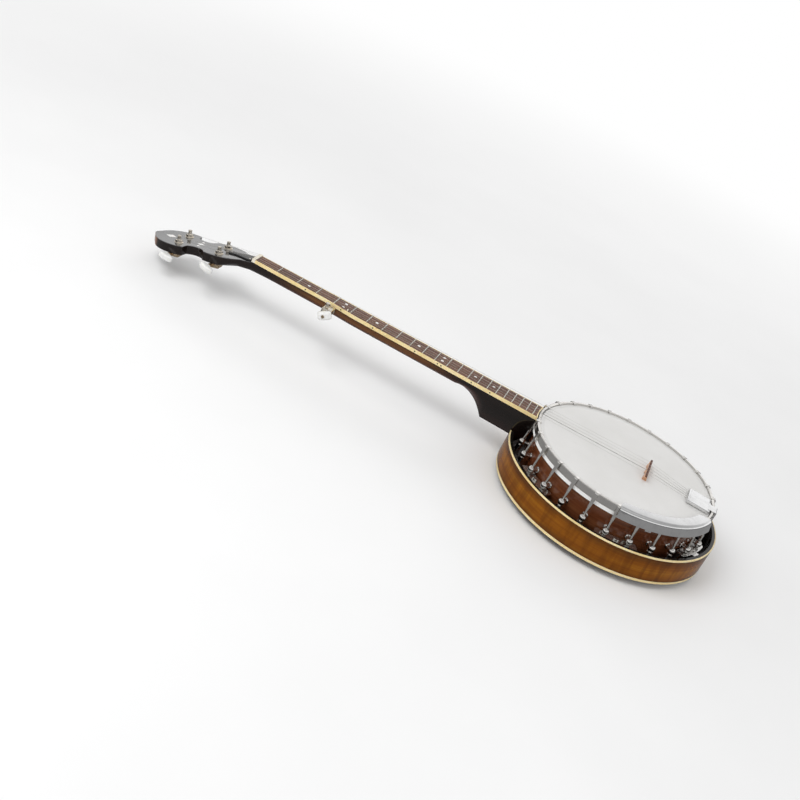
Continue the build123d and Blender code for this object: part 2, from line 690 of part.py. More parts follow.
def make_coordinator():
    rods, nuts, lags = [], [], []
    for height in ROD_HEIGHTS:
        body = rod((-113, 0, height), (118, 0, height), 4.5)
        body += rod((117, 0, height), (152.5, 0, height), 3.0)
        body -= rod((-114, 0, height), (-103, 0, height), 3.05)
        rods.append(body)
        lags.append(rod((-181, 0, height), (-104, 0, height), 3.0))
        neck_nut = hexagon((-120.4, 0, height), (-115.4, 0, height), 11.0)
        tail_nut = hexagon((143.3, 0, height), (148.3, 0, height), 11.0)
        inner_nut = hexagon((118.2, 0, height), (120.5, 0, height), 11.0)
        nuts.append(neck_nut - rod((-125, 0, height), (-110, 0, height), 3.05))
        nuts.append(tail_nut - rod((140, 0, height), (150, 0, height), 3.05))
        nuts.append(inner_nut - rod((116, 0, height), (125, 0, height), 3.05))
    return rods, nuts, lags


# --- Resonator ----------------------------------------------------------------------------------------


def heel_notch():
    notch = block(-180, -155, -15.5, 15.5, 42.4, 70)
    return fillet(notch.edges().filter_by(Axis.X).sort_by(Axis.Z)[:2], 6)


def make_resonator_bowl():
    inner = RESONATOR_RADIUS - RESONATOR_WALL
    bottom = BACK_EDGE_Z + BACK_THICKNESS
    wall = turned(
        (inner, bottom), (RESONATOR_RADIUS, bottom), (RESONATOR_RADIUS, RESONATOR_TOP - 2.4),
        (RESONATOR_RADIUS - BINDING, RESONATOR_TOP - 2.4), (RESONATOR_RADIUS - BINDING, RESONATOR_TOP),
        (inner, RESONATOR_TOP),
    )
    return wall - heel_notch()


def make_resonator_back():
    """Back panel: flat where the instrument rests, then dished up to the side wall."""
    edge = RESONATOR_RADIUS - BINDING
    top = BACK_EDGE_Z + BACK_THICKNESS
    outline = [
        Line((0, 0), (RESONATOR_FLAT, 0)),
        Spline((RESONATOR_FLAT, 0), (edge, BACK_EDGE_Z), tangents=[(1, 0), (1, 0.7)]),
        Line((edge, BACK_EDGE_Z), (edge, top)),
        Line((edge, top), (162, top)),
        Spline((162, top), (RESONATOR_FLAT - 4, BACK_THICKNESS), tangents=[(-1, -0.5), (-1, 0)]),
        Line((RESONATOR_FLAT - 4, BACK_THICKNESS), (0, BACK_THICKNESS)),
        Line((0, BACK_THICKNESS), (0, 0)),
    ]
    return revolve(Plane.XZ * make_face(outline), Axis.Z)


def make_resonator_binding():
    inner = RESONATOR_RADIUS - BINDING
    upper = ring(inner, RESONATOR_RADIUS, RESONATOR_TOP - 2.4, RESONATOR_TOP)
    upper = chamfer(upper.edges().sort_by(Axis.Z)[-2:].sort_by(SortBy.LENGTH)[-1:], 0.5)
    lower = ring(inner, RESONATOR_RADIUS, BACK_EDGE_Z, BACK_EDGE_Z + BACK_THICKNESS)
    lower = chamfer(lower.edges().sort_by(Axis.Z)[:2].sort_by(SortBy.LENGTH)[-1:], 0.8)
    return [upper - heel_notch(), lower]


def make_flange_plate():
    half_angle = 12.5
    reach = 220
    wedge = Polygon(
        (0, 0), (reach * cos(radians(half_angle)), reach * sin(radians(half_angle))),
        (reach * cos(radians(half_angle)), -reach * sin(radians(half_angle))), align=None,
    )
    plan = (Circle(158.5) - Circle(143.2)) & wedge
    plate = Pos(0, 0, PLATE_Z) * extrude(plan, PLATE_THICKNESS)
    plate = fillet(plate.edges().filter_by(Axis.Z), 4)
    for angle in (-HOOK_STEP / 2, HOOK_STEP / 2):
        plate -= Rot(0, 0, angle) * Pos(shank_radius_at(48.6), 0, 0) * disc(2.6, 40, 60)
    return plate - Pos(SCREW_RADIUS_POSITION, 0, 0) * disc(2.15, 40, 60)


def make_lug():
    inner = RESONATOR_RADIUS - RESONATOR_WALL - 0.02
    arm = block(146.5, 170, -7, 7, 43, PLATE_Z - 0.05)
    arm = fillet(arm.edges().filter_by(Axis.Z), 3)
    leg = block(161.5, 170, -7, 7, 20, PLATE_Z - 0.05)
    boss = Pos(SCREW_RADIUS_POSITION, 0, 0) * disc(4.2, 36, 44)
    lug = (arm + leg + boss) & disc(inner, 10, 60)
    return lug - Pos(SCREW_RADIUS_POSITION, 0, 0) * disc(2.06, 30, 60)


def make_resonator_screw():
    top = PLATE_Z + PLATE_THICKNESS
    head = turned((0, top + 0.03), (4.6, top + 0.03), (4.6, top + 2.4), (3.9, top + 3.2), (0, top + 3.2))
    head -= block(-6, 6, -0.5, 0.5, top + 2.0, top + 5)
    return Pos(SCREW_RADIUS_POSITION, 0, 0) * (head + disc(2.0, 35, top + 0.5))


# --- Bridge, strings, tailpiece and armrest -----------------------------------------------------------


def bridge_slab(bottom, top):
    """Tapered slab of the bridge between two heights above the drum head."""
    base = 3.6
    crest = 1.3
    lean = (base - crest) / BRIDGE_HEIGHT
    points = [
        (-(base - lean * bottom), bottom), (base - lean * bottom, bottom),
        (base - lean * top, top), (-(base - lean * top), top),
    ]
    slab = extrude(Plane.XZ * Polygon(*points, align=None), BRIDGE_LENGTH, both=True)
    return Pos(BRIDGE_X, 0, HEAD_Z) * slab


def make_bridge():
    """Three-footed bridge; the top bar overhangs the outer feet."""
    half = BRIDGE_LENGTH / 2
    top = BRIDGE_HEIGHT - BRIDGE_CAP
    outline = [
        Line((0, 0), (3.2, 0)),
        Line((3.2, 0), (3.8, 1.2)),
        ThreePointArc((3.8, 1.2), (10.9, 5.4), (18, 1.2)),
        Line((18, 1.2), (18.6, 0)),
        Line((18.6, 0), (25, 0)),
        Line((25, 0), (25.6, 1.6)),
        Spline((25.6, 1.6), (half, top - 1.4), tangents=[(0.3, 1), (1, 0.25)]),
        Line((half, top - 1.4), (half, top)),
        Line((half, top), (0, top)),
        Line((0, top), (0, 0)),
    ]
    face = make_face(outline)
    face += mirror(face, about=Plane.YZ)
    body = Pos(0, 0, HEAD_Z) * extrude(Plane.YZ * face, 60)
    return bridge_slab(0.02, top) & body


def make_bridge_cap():
    half = BRIDGE_LENGTH / 2
    low = BRIDGE_HEIGHT - BRIDGE_CAP
    cap = bridge_slab(low, BRIDGE_HEIGHT) & block(0, 60, -half, half, HEAD_Z, HEAD_Z + 40)
    for y, radius in zip(BRIDGE_STRING_Y, STRING_RADII):
        cap -= block(0, 60, y - radius - 0.1, y + radius + 0.1, HEAD_Z + BRIDGE_HEIGHT - 0.5, HEAD_Z + 40)
    return cap


def neck_point(s, y, z):
    spot = (NECK * Pos(s, y, z)).position
    return (spot.X, spot.Y, spot.Z)


def headstock_point(s, y, z):
    spot = (NECK * HEADSTOCK * Pos(s, y, z)).position
    return (spot.X, spot.Y, spot.Z)


def string_along(points, radius):
    wire = rod(points[0], points[1], radius)
    for start, end in zip(points[1:-1], points[2:]):
        wire += Pos(*start) * Sphere(radius)
        wire += rod(start, end, radius)
    return wire


def make_strings():
    """Five strings. Order: first string on the far side to fourth, then the short fifth."""
    tuner_order = (2, 3, 1, 0)
    strings = []
    for index, tuner in enumerate(tuner_order):
        radius = STRING_RADII[index]
        s, y, side, turn = TUNERS[tuner]
        y_end = y - side * (POST_RADIUS + radius - 0.1)
        points = [
            headstock_point(s - 1.2, y_end, STRING_HOLE),
            neck_point(-NUT_WIDTH + 0.5, NUT_STRING_Y[index], 0.75 + radius),
            neck_point(-0.2, NUT_STRING_Y[index], 0.9 + radius),
            (BRIDGE_X, BRIDGE_STRING_Y[index], HEAD_Z + BRIDGE_HEIGHT - 0.2 + radius),
            (TAIL_FRONT + 2.5, TAIL_STRING_Y[index], TAIL_STRING_Z),
            (TAIL_PEG_X - 1.5, TAIL_STRING_Y[index], TAIL_STRING_Z - 0.2),
        ]
        strings.append(string_along(points, radius))
    radius = STRING_RADII[4]
    strings.append(string_along([
        neck_point(FIFTH_SHANK - FIFTH_POST_OFFSET + 2.6, FIFTH_POST_Y + 2.1, FIFTH_HEIGHT + 8.9),
        neck_point(FIFTH_NUT_S, FIFTH_NUT_Y, 1.1 + radius),
        (BRIDGE_X, BRIDGE_STRING_Y[4], HEAD_Z + BRIDGE_HEIGHT - 0.2 + radius),
        (TAIL_FRONT + 2.5, TAIL_STRING_Y[4], TAIL_STRING_Z),
        (TAIL_PEG_X - 1.5, TAIL_STRING_Y[4], TAIL_STRING_Z - 0.2),
    ], radius))
    return strings


def pin_bore(start, end):
    radius = TAIL_PIN_RADIUS + RUNNING_GAP
    return rod((TAIL_PIN_X, start, TAIL_PIN_Z), (TAIL_PIN_X, end, TAIL_PIN_Z), radius)


def make_tail_base():
    """Floor of the tailpiece: front wall with string slots, a row of pegs and two hinge ears."""
    half = TAIL_HALF_WIDTH - TAIL_WALL - 0.5
    base = block(TAIL_FRONT + 1.8, TAIL_PIN_X + 2.5, -half, half, TAIL_BASE_Z, TAIL_BASE_TOP)
    base += block(TAIL_FRONT + 1.8, TAIL_FRONT + 3.2, -half, half, TAIL_BASE_Z, 98.1)
    for y in TAIL_STRING_Y:
        base -= block(TAIL_FRONT, TAIL_FRONT + 5, y - 0.6, y + 0.6, 96.9, 105)
        base += Pos(TAIL_PEG_X, y, 0) * disc(1.2, TAIL_BASE_Z + 1, 98.0)
    for side in (1, -1):
        y0, y1 = sorted((side * (half - 1.8), side * half))
        base += block(TAIL_PIN_X - 1.3, TAIL_PIN_X + 1.3, y0, y1, TAIL_BASE_Z, TAIL_PIN_Z)
        base += rod((TAIL_PIN_X, y0, TAIL_PIN_Z), (TAIL_PIN_X, y1, TAIL_PIN_Z), 1.3)
        base -= pin_bore(y0 - 1, y1 + 1)
        notch0, notch1 = sorted((side * half, side * (half - 5)))
        base -= block(TAIL_PIN_X + 1.3, TAIL_PIN_X + 3, notch0, notch1, 90, 97)
    return base


def make_tail_lid():
    """Box-shaped cover with a rounded nose, hinged on two pins at its rear corners."""
    half = TAIL_HALF_WIDTH
    inside = half - TAIL_WALL
    profile = make_face([
        Line((TAIL_FRONT, 95.3), (TAIL_FRONT, 97.6)),
        ThreePointArc((TAIL_FRONT, 97.6), (TAIL_FRONT + 0.6, 98.9), (TAIL_FRONT + 1.9, TAIL_CROWN)),
        Line((TAIL_FRONT + 1.9, TAIL_CROWN), (TAIL_PIN_X - 1.3, TAIL_CROWN)),
        ThreePointArc((TAIL_PIN_X - 1.3, TAIL_CROWN), (TAIL_PIN_X + 1.5, 97.6), (TAIL_PIN_X, 95.3)),
        Line((TAIL_PIN_X, 95.3), (TAIL_FRONT, 95.3)),
    ])
    shell = extrude(Plane.XZ * profile, half, both=True)
    upper = shell.edges().filter_by(Axis.X).sort_by(Axis.Z)[-2:]
    front = shell.edges().filter_by(Axis.Z).sort_by(Axis.X)[:2]
    shell = fillet(upper + front, 0.8)
    shell -= block(TAIL_FRONT + 1.3, TAIL_PIN_X - 1.3, -inside, inside, 90, TAIL_CROWN - TAIL_WALL)
    shell -= block(TAIL_PIN_X - 1.4, 145, -inside, inside, 90, 110)
    shell -= block(TAIL_FRONT - 1, TAIL_FRONT + 3, -17, 17, 90, 98.15)
    shell -= block(TAIL_FRONT + 3.0, TAIL_FRONT + 3.8, -half + 2, half - 2, TAIL_CROWN - 0.4, 110)
    return shell - pin_bore(-half - 5, half + 5)


def make_tail_pins():
    pins = []
    for side in (1, -1):
        inner, head, end = side * 17.4, side * 21.3, side * 21.9
        pin = rod((TAIL_PIN_X, inner, TAIL_PIN_Z), (TAIL_PIN_X, head, TAIL_PIN_Z), TAIL_PIN_RADIUS)
        pins.append(pin + rod((TAIL_PIN_X, head, TAIL_PIN_Z), (TAIL_PIN_X, end, TAIL_PIN_Z), 1.4))
    return pins


def make_hanger():
    """Strap from the tailpiece over the hoop and down to the rim, where two nuts hold it."""
    outline = [
        (122, 96.62), (146.6, 96.62), (147.2, 96.0), (147.2, 78), (141.6, 72.4), (141.6, 43),
        (143.2, 43), (143.2, 71.8), (148.8, 77.4), (148.8, 96.6), (147.6, 97.8), (122, 97.8),
    ]
    strap = side_view(outline, 9)
    for height in ROD_HEIGHTS:
        strap -= rod((135, 0, height), (150, 0, height), 3.05)
    return strap


def make_armrest():
    """Narrow crescent of sheet metal over the hoop with a skirt down its outer side."""
    top = ARMREST_TOP
    sheet = ARMREST_SHEET
    outer = ARMREST_OUTER
    low = ARMREST_BOTTOM
    outline = [
        Line((120, top), (146, top)),
        Spline((146, top), (outer - 2.2, 94), tangents=[(1, 0), (0.2, -1)]),
        Line((outer - 2.2, 94), (outer, low)),
        Line((outer, low), (outer - sheet, low)),
        Line((outer - sheet, low), (outer - 2.2 - sheet, 94)),
        Spline((outer - 2.2 - sheet, 94), (146, top - sheet), tangents=[(-0.2, 1), (-1, 0)]),
        Line((146, top - sheet), (120, top - sheet)),
        Line((120, top - sheet), (120, top)),
    ]
    skin = revolve(Plane.XZ * make_face(outline), Axis.Z, ARMREST_SPAN)
    skin = Rot(0, 0, -ARMREST_SPAN / 2) * skin
    reach = 250
    across = reach * sin(radians(ARMREST_SPAN / 2))
    along = reach * cos(radians(ARMREST_SPAN / 2))
    plan = Circle(170) - Circle(ARMREST_INNER)
    plan &= Polygon((0, 0), (along, -across), (along, across), align=None)
    corners = [v for v in plan.vertices() if (v.X ** 2 + v.Y ** 2) ** 0.5 < ARMREST_INNER + 1]
    plan = fillet(corners, 13)
    skin &= Pos(0, 0, 75) * extrude(plan, 40)
    return around(ARMREST_MIDDLE) * skin


def make_armrest_clamp():
    """Bracket under the armrest that grips the hoop from above and below the collar."""
    outer = HOOP_OUTER + 0.3
    back = outer + 1.8
    over = HOOP_TOP + 0.1
    under = COLLAR_BOTTOM - 0.1
    top = ARMREST_TOP - ARMREST_SHEET - 0.05
    outline = [
        (136, over), (outer, over), (outer, under), (140.6, under), (140.6, 76.6), (back, 76.6),
        (back, over - 0.3), (outer + 0.4, top), (136, top),
    ]
    clamp = side_view(outline, 5) + rod((back - 0.1, 0, 81), (outer + 3.4, 0, 81), 2.4)
    return clamp - block(outer + 2.7, outer + 5, -0.4, 0.4, 76, 86)


# --- Write the pieces ---------------------------------------------------------------------------------

os.makedirs("parts", exist_ok=True)

save("neck", make_neck())
overlay = make_overlay()
inlay = make_headstock_inlay()
for piece in inlay:
    overlay -= piece
save("headstock_overlay", overlay)
board, binding, markers, dots = make_board()
save("fingerboard", board)
save("fingerboard_binding", binding)
save("pearl_markers", *markers, *inlay)
save("side_dots", *dots)
save("frets", *make_frets())
save("nut", make_nut())
save("fifth_string_nut", make_fifth_nut())
save("truss_rod", make_truss_rod())
save("truss_rod_nut", make_truss_nut())
save("truss_rod_cover", make_truss_cover())
save("truss_cover_screws", *make_cover_screws())

save_tuners()
save("fifth_housing", fifth_place() * make_fifth_housing())
save("fifth_post", fifth_place() * make_fifth_post())
save("fifth_worm", fifth_place() * make_fifth_worm())
save("fifth_button", fifth_place() * make_fifth_button())

save("rim", make_rim())
save("tone_hoop", make_tone_hoop())
save("drum_head", make_head())
save("flesh_hoop", ring(140.25, 144.55, COLLAR_BOTTOM, COLLAR_TOP - 0.45))
save("tension_hoop", make_tension_hoop())
hook = make_hook()
shoe = make_shoe()
bolt = make_shoe_bolt()
save("bracket_hooks", *[around(angle) * hook for angle in hook_angles()])
save("bracket_shoes", *[around(angle) * shoe for angle in hook_angles()])
save("shoe_bolts", *[around(angle) * bolt for angle in hook_angles()])
plain_nut = make_bracket_nut(5.7)
plated_nut = make_bracket_nut(7.6)
save("bracket_nuts", *[around(a) * (plated_nut if plated(a) else plain_nut) for a in hook_angles()])
rods, nuts, lags = make_coordinator()
save("coordinator_rods", *rods)
save("coordinator_nuts", *nuts)
save("neck_lag_bolts", *lags)

save("resonator_bowl", make_resonator_bowl())
save("resonator_back", make_resonator_back())
save("resonator_binding", *make_resonator_binding())
plate = make_flange_plate()
lug = make_lug()
screw = make_resonator_screw()
save("flange_plates", *[around(angle) * plate for angle in plate_angles()])
save("resonator_lugs", *[around(angle) * lug for angle in plate_angles()])
save("resonator_screws", *[around(angle) * screw for angle in plate_angles()])

save("bridge", make_bridge())
save("bridge_cap", make_bridge_cap())
save("strings", *make_strings())
save("tailpiece_base", make_tail_base())
save("tailpiece_lid", make_tail_lid())
save("tailpiece_pins", *make_tail_pins())
save("tailpiece_hanger", make_hanger())
save("armrest", make_armrest())
clamp = make_armrest_clamp()
save("armrest_clamps", *[around(HOOK_FIRST + HOOK_STEP * k) * clamp for k in (7.5, 9.5)])
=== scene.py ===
import json
import math

import bpy
import numpy as np
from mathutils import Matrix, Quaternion, Vector


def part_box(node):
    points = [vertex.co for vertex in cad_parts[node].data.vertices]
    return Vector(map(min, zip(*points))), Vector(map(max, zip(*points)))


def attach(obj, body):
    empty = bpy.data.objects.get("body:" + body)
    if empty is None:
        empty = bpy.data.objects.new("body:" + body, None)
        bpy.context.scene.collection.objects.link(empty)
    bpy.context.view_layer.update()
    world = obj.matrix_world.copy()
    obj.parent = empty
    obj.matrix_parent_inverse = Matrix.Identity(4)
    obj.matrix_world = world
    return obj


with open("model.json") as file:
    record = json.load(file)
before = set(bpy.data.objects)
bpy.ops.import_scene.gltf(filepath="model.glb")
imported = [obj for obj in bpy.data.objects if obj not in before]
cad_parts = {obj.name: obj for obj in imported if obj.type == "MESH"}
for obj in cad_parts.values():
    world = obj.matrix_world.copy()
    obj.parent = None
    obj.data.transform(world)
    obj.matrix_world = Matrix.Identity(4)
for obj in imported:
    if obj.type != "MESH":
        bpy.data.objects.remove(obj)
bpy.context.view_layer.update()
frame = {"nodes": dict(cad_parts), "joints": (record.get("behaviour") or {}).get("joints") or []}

# Looks for the resonator banjo. Metres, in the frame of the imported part: the origin is on the pot's axis
# where the resonator's back rests, +Z out of the drum head, -X along the neck, -Y the fifth string's side.

MM = 0.001

# Camera
CAMERA_PLACE = (-0.11545, -1.78248, 0.88657)
CAMERA_TARGET = (-0.32779, -0.10690, 0.05)
CAMERA_ROLL = 26.744
CAMERA_LENS = 58.77

# Places on the instrument that the finishes follow
POT_RADIUS = 0.1397
PLY = 0.0032
COLLAR_RADIUS = 0.1400
RESONATOR_RADIUS = 0.1715
RESONATOR_TOP = 0.0534
RESONATOR_EDGE = 0.009
BACK_INSIDE = 0.0044
BACK_FLAT_RADIUS = 0.1335
HEAD_TOP = 0.094
NUT_X = -0.6337
TIP_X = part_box("neck")[0].x
NECK_RISE = math.tan(math.radians(1.04))
BOARD_TOP_AT_NUT = 0.0862
WINDING_PITCH = 0.0004

# The floor lies just under the resonator, so that the two faces don't coincide
FLOOR_GAP = 0.0003

# Small wire pieces
POST_WAIST = 2.6 * MM
FIFTH_POST_WAIST = 2.5 * MM
LOOP_WIRE = 0.16 * MM
PEG_RADIUS = 1.2 * MM


# --- Material kit --------------------------------------------------------------------------------------


def add_node(tree, kind, **settings):
    node = tree.nodes.new(kind)
    for key, value in settings.items():
        setattr(node, key, value)
    return node


def set_stops(ramp, stops):
    """Give a new colour ramp its (position, colour) stops; a ramp is made with two."""
    elements = ramp.color_ramp.elements
    while len(elements) < len(stops):
        elements.new(0.5)
    for element, (position, colour) in zip(elements, stops):
        element.position = position
        element.color = (*colour, 1)


class Finish:
    """A procedural material under construction, with short calls for the nodes used most."""

    def __init__(self, name):
        self.material = bpy.data.materials.new(name)
        self.material.use_nodes = True
        self.tree = self.material.node_tree
        self.tree.nodes.clear()
        output = self.add("ShaderNodeOutputMaterial")
        self.surface = self.add("ShaderNodeBsdfPrincipled")
        self.tree.links.new(self.surface.outputs[0], output.inputs["Surface"])
        self.place = self.add("ShaderNodeTexCoord").outputs["Object"]
        parts = self.add("ShaderNodeSeparateXYZ")
        self.feed(parts.inputs[0], self.place)
        self.x, self.y, self.z = parts.outputs

    def add(self, kind, **settings):
        return add_node(self.tree, kind, **settings)

    def feed(self, socket, value):
        """Link another node's output to the socket, or set the socket to a plain value."""
        if isinstance(value, bpy.types.NodeSocket):
            self.tree.links.new(value, socket)
        elif isinstance(value, (tuple, list)) and len(value) == 3 and socket.type == "RGBA":
            socket.default_value = (*value, 1)
        else:
            socket.default_value = value

    def set(self, **values):
        """Feed the surface's inputs; base_color stands for Base Color, and so on."""
        for key, value in values.items():
            words = [word.upper() if word == "ior" else word.capitalize() for word in key.split("_")]
            label = " ".join(words)
            self.feed(self.surface.inputs[label], value)
        return self

    def math(self, operation, first, second=0.0, clamp=False):
        node = self.add("ShaderNodeMath", operation=operation, use_clamp=clamp)
        self.feed(node.inputs[0], first)
        self.feed(node.inputs[1], second)
        return node.outputs[0]

    def span(self, value, low, high, start=0.0, end=1.0):
        """Value from low to high becomes start to end, smoothly and clamped."""
        node = self.add("ShaderNodeMapRange", interpolation_type="SMOOTHSTEP")
        for socket, given in zip(node.inputs, (value, low, high, start, end)):
            self.feed(socket, given)
        return node.outputs[0]

    def vector(self, x, y, z):
        node = self.add("ShaderNodeCombineXYZ")
        for socket, given in zip(node.inputs, (x, y, z)):
            self.feed(socket, given)
        return node.outputs[0]

    def stretch(self, place, x, y, z):
        node = self.add("ShaderNodeMapping")
        self.feed(node.inputs["Vector"], place)
        node.inputs["Scale"].default_value = (x, y, z)
        return node.outputs[0]

    def noise(self, scale, detail=3.0, roughness=0.5, distortion=0.0, place=None):
        node = self.add("ShaderNodeTexNoise")
        self.feed(node.inputs["Vector"], place or self.place)
        self.feed(node.inputs["Scale"], scale)
        node.inputs["Detail"].default_value = detail
        node.inputs["Roughness"].default_value = roughness
        node.inputs["Distortion"].default_value = distortion
        return node.outputs[0]

    def cells(self, scale):
        node = self.add("ShaderNodeTexVoronoi", feature="F1")
        self.feed(node.inputs["Vector"], self.place)
        node.inputs["Scale"].default_value = scale
        return node.outputs["Distance"]

    def ramp(self, value, *stops):
        """Colour ramp from (position, colour) stops."""
        node = self.add("ShaderNodeValToRGB")
        self.feed(node.inputs[0], value)
        set_stops(node, stops)
        return node.outputs[0]

    def mix(self, share, first, second):
        node = self.add("ShaderNodeMix", data_type="RGBA", blend_type="MIX")
        self.feed(node.inputs[0], share)
        self.feed(node.inputs[6], first)
        self.feed(node.inputs[7], second)
        return node.outputs[2]

    def bump(self, height, depth, strength, normal=None):
        """Surface relief: height 0 to 1 stands for depth metres."""
        node = self.add("ShaderNodeBump")
        node.inputs["Strength"].default_value = strength
        node.inputs["Distance"].default_value = depth
        self.feed(node.inputs["Height"], height)
        if normal:
            self.feed(node.inputs["Normal"], normal)
        return node.outputs[0]

    def soft_edges(self, radius):
        """Normal that rounds the piece's corners off to the radius."""
        node = self.add("ShaderNodeBevel", samples=4)
        node.inputs["Radius"].default_value = radius
        return node.outputs[0]

    def unrolled(self, radius):
        """Coordinates unrolled round the pot's axis: arc length, distance from the axis, height."""
        arc = self.math("MULTIPLY", self.math("ARCTAN2", self.y, self.x), radius)
        return self.vector(arc, self.from_axis(), self.z)

    def from_axis(self):
        x_square = self.math("MULTIPLY", self.x, self.x)
        y_square = self.math("MULTIPLY", self.y, self.y)
        return self.math("SQRT", self.math("ADD", x_square, y_square))

    def wander(self, scale, detail, reach):
        """Slow noise about zero, that keeps a colour's edge from running dead straight."""
        return self.math("MULTIPLY", self.math("SUBTRACT", self.noise(scale, detail), 0.5), reach)

    def times(self, first, second):
        return self.math("MULTIPLY", first, second)


# --- Wood ----------------------------------------------------------------------------------------------


def wood_grain(finish, place, along, across):
    """Fine streaks that run along the place's first axis, with broader bands under them."""
    streaks = finish.noise(1.0, 5, 0.62, 0.3, finish.stretch(place, along, across, across))
    broad = finish.stretch(place, along * 0.35, across * 0.16, across * 0.16)
    bands = finish.noise(1.0, 2, 0.5, 0.8, broad)
    return finish.math("ADD", finish.times(streaks, 0.6), finish.times(bands, 0.4))


def pores(finish, place, along, across):
    """Short dark dashes of open grain, 0 to 1."""
    dashes = finish.noise(1.0, 2, 0.5, 0.0, finish.stretch(place, along, across, across))
    return finish.span(dashes, 0.62, 0.72)


def lacquer(finish, grain, roughness, edge=None, coat=0.4, shine=0.3):
    """Gloss coat over wood: faint orange peel, sunken grain and handling marks."""
    peel = finish.noise(420.0, 2, 0.5)
    normal = finish.soft_edges(edge) if edge else None
    normal = finish.bump(peel, 0.00004, 0.3, normal)
    normal = finish.bump(grain, 0.00005, 0.2, normal)
    marks = finish.noise(38.0, 6, 0.72, 0.4)
    return finish.set(
        roughness=finish.span(marks, 0.35, 0.75, roughness * 0.75, roughness * 1.7),
        specular_ior_level=shine,
        coat_weight=coat,
        coat_roughness=finish.span(marks, 0.4, 0.8, 0.04, 0.13),
        normal=normal,
    )


def neck_finish():
    """Sunburst neck: black at the headstock and heel, amber-brown between, maroon along the back, and a
    painted maroon reflection on surfaces that face downwards.

    The headstock's blunt tip shows bare end grain.
    """
    finish = Finish("neck_lacquer")
    grain = wood_grain(finish, finish.place, 7.0, 230.0)
    along = finish.math("SUBTRACT", finish.x, NUT_X)
    amber = finish.ramp(
        grain, (0.30, (0.060, 0.022, 0.008)), (0.52, (0.125, 0.050, 0.016)), (0.72, (0.20, 0.090, 0.030)),
    )
    maroon = finish.ramp(grain, (0.30, (0.028, 0.007, 0.005)), (0.70, (0.075, 0.018, 0.011)))
    black = finish.ramp(grain, (0.35, (0.006, 0.0045, 0.004)), (0.75, (0.016, 0.010, 0.008)))
    surface = finish.math("ADD", finish.times(along, NECK_RISE), BOARD_TOP_AT_NUT)
    depth = finish.math("SUBTRACT", surface, finish.z)
    reach = finish.math("ADD", along, finish.wander(12.0, 2, 0.05))
    start = finish.span(reach, 0.025, 0.12)
    end = finish.span(reach, 0.285, 0.365, 1.0, 0.0)
    middle = finish.times(start, end)
    back = finish.span(depth, 0.0105, 0.0185)
    top_line = finish.span(depth, 0.0052, 0.0085, 1.0, 0.0)
    side = finish.mix(finish.times(top_line, 0.55), amber, black)
    side = finish.mix(back, side, maroon)
    facing = finish.add("ShaderNodeSeparateXYZ")
    finish.feed(facing.inputs[0], finish.add("ShaderNodeNewGeometry").outputs["Normal"])
    # Painted reflection: beyond the nut, surfaces that face downwards turn maroon, as if they mirrored a red
    # case lining below them.
    painted_reflection_facing_down = finish.span(facing.outputs[2], -0.75, -0.30, 1.0, 0.0)
    under = finish.times(painted_reflection_facing_down, finish.span(along, 0.01, 0.06))
    colour = finish.mix(middle, finish.mix(under, black, maroon), side)
    faces_out = finish.span(facing.outputs[0], -0.75, -0.55, 1.0, 0.0)
    end_grain = finish.times(faces_out, finish.span(finish.x, TIP_X + 0.012, TIP_X + 0.018, 1.0, 0.0))
    raw = finish.ramp(finish.noise(160.0, 4, 0.6), (0.3, (0.17, 0.05, 0.015)), (0.7, (0.42, 0.16, 0.05)))
    finish.set(base_color=finish.mix(end_grain, colour, raw))
    return lacquer(finish, grain, 0.12, 0.0006)


def headstock_finish():
    """Black gloss veneer with fine polishing scratches."""
    finish = Finish("headstock_veneer")
    grain = wood_grain(finish, finish.place, 10.0, 300.0)
    colour = finish.ramp(grain, (0.3, (0.009, 0.0085, 0.009)), (0.7, (0.024, 0.022, 0.022)))
    scratches = finish.noise(1.0, 2, 0.5, 0.0, finish.stretch(finish.place, 90.0, 1500.0, 700.0))
    worn = finish.times(finish.span(scratches, 0.64, 0.70), 0.25)
    finish.set(base_color=finish.mix(worn, colour, (0.07, 0.068, 0.066)), coat_ior=1.9)
    return lacquer(finish, grain, 0.16, 0.0003, coat=1.0, shine=1.0)


def fingerboard_finish():
    """Oiled open-grained wood, with paler worn patches."""
    finish = Finish("fingerboard_wood")
    grain = wood_grain(finish, finish.place, 11.0, 420.0)
    colour = finish.ramp(
        grain, (0.28, (0.050, 0.020, 0.013)), (0.48, (0.125, 0.057, 0.038)), (0.70, (0.235, 0.128, 0.090)),
    )
    open_pores = pores(finish, finish.place, 90.0, 1100.0)
    colour = finish.mix(finish.times(open_pores, 0.8), colour, (0.022, 0.010, 0.008))
    patches = finish.noise(20.0, 3, 0.6)
    colour = finish.mix(finish.span(patches, 0.42, 0.68, 0.0, 0.28), colour, (0.30, 0.18, 0.13))
    normal = finish.bump(open_pores, -0.00008, 0.7)
    normal = finish.bump(grain, 0.00004, 0.4, normal)
    return finish.set(
        base_color=colour,
        roughness=finish.span(patches, 0.35, 0.7, 0.40, 0.55),
        specular_ior_level=0.25,
        normal=normal,
    )


def rim_finish():
    """Reddish-brown lacquered rim with laminations that follow its curve, and painted shade towards its lower
    edge.
    """
    finish = Finish("rim_wood")
    place = finish.unrolled(POT_RADIUS)
    grain = wood_grain(finish, place, 6.0, 210.0)
    colour = finish.ramp(
        grain, (0.28, (0.055, 0.014, 0.006)), (0.50, (0.140, 0.042, 0.016)), (0.74, (0.245, 0.092, 0.036)),
    )
    plies = finish.math("SINE", finish.times(finish.from_axis(), 2 * math.pi / PLY))
    colour = finish.mix(finish.span(plies, 0.80, 0.98, 0.0, 0.45), colour, (0.03, 0.009, 0.006))
    # Painted shade: the rim darkens towards its lower edge, down inside the resonator.
    shade = finish.span(finish.z, 0.024, 0.05, 0.45, 0.0)
    finish.set(base_color=finish.mix(shade, colour, (0.018, 0.006, 0.004)))
    return lacquer(finish, grain, 0.2)


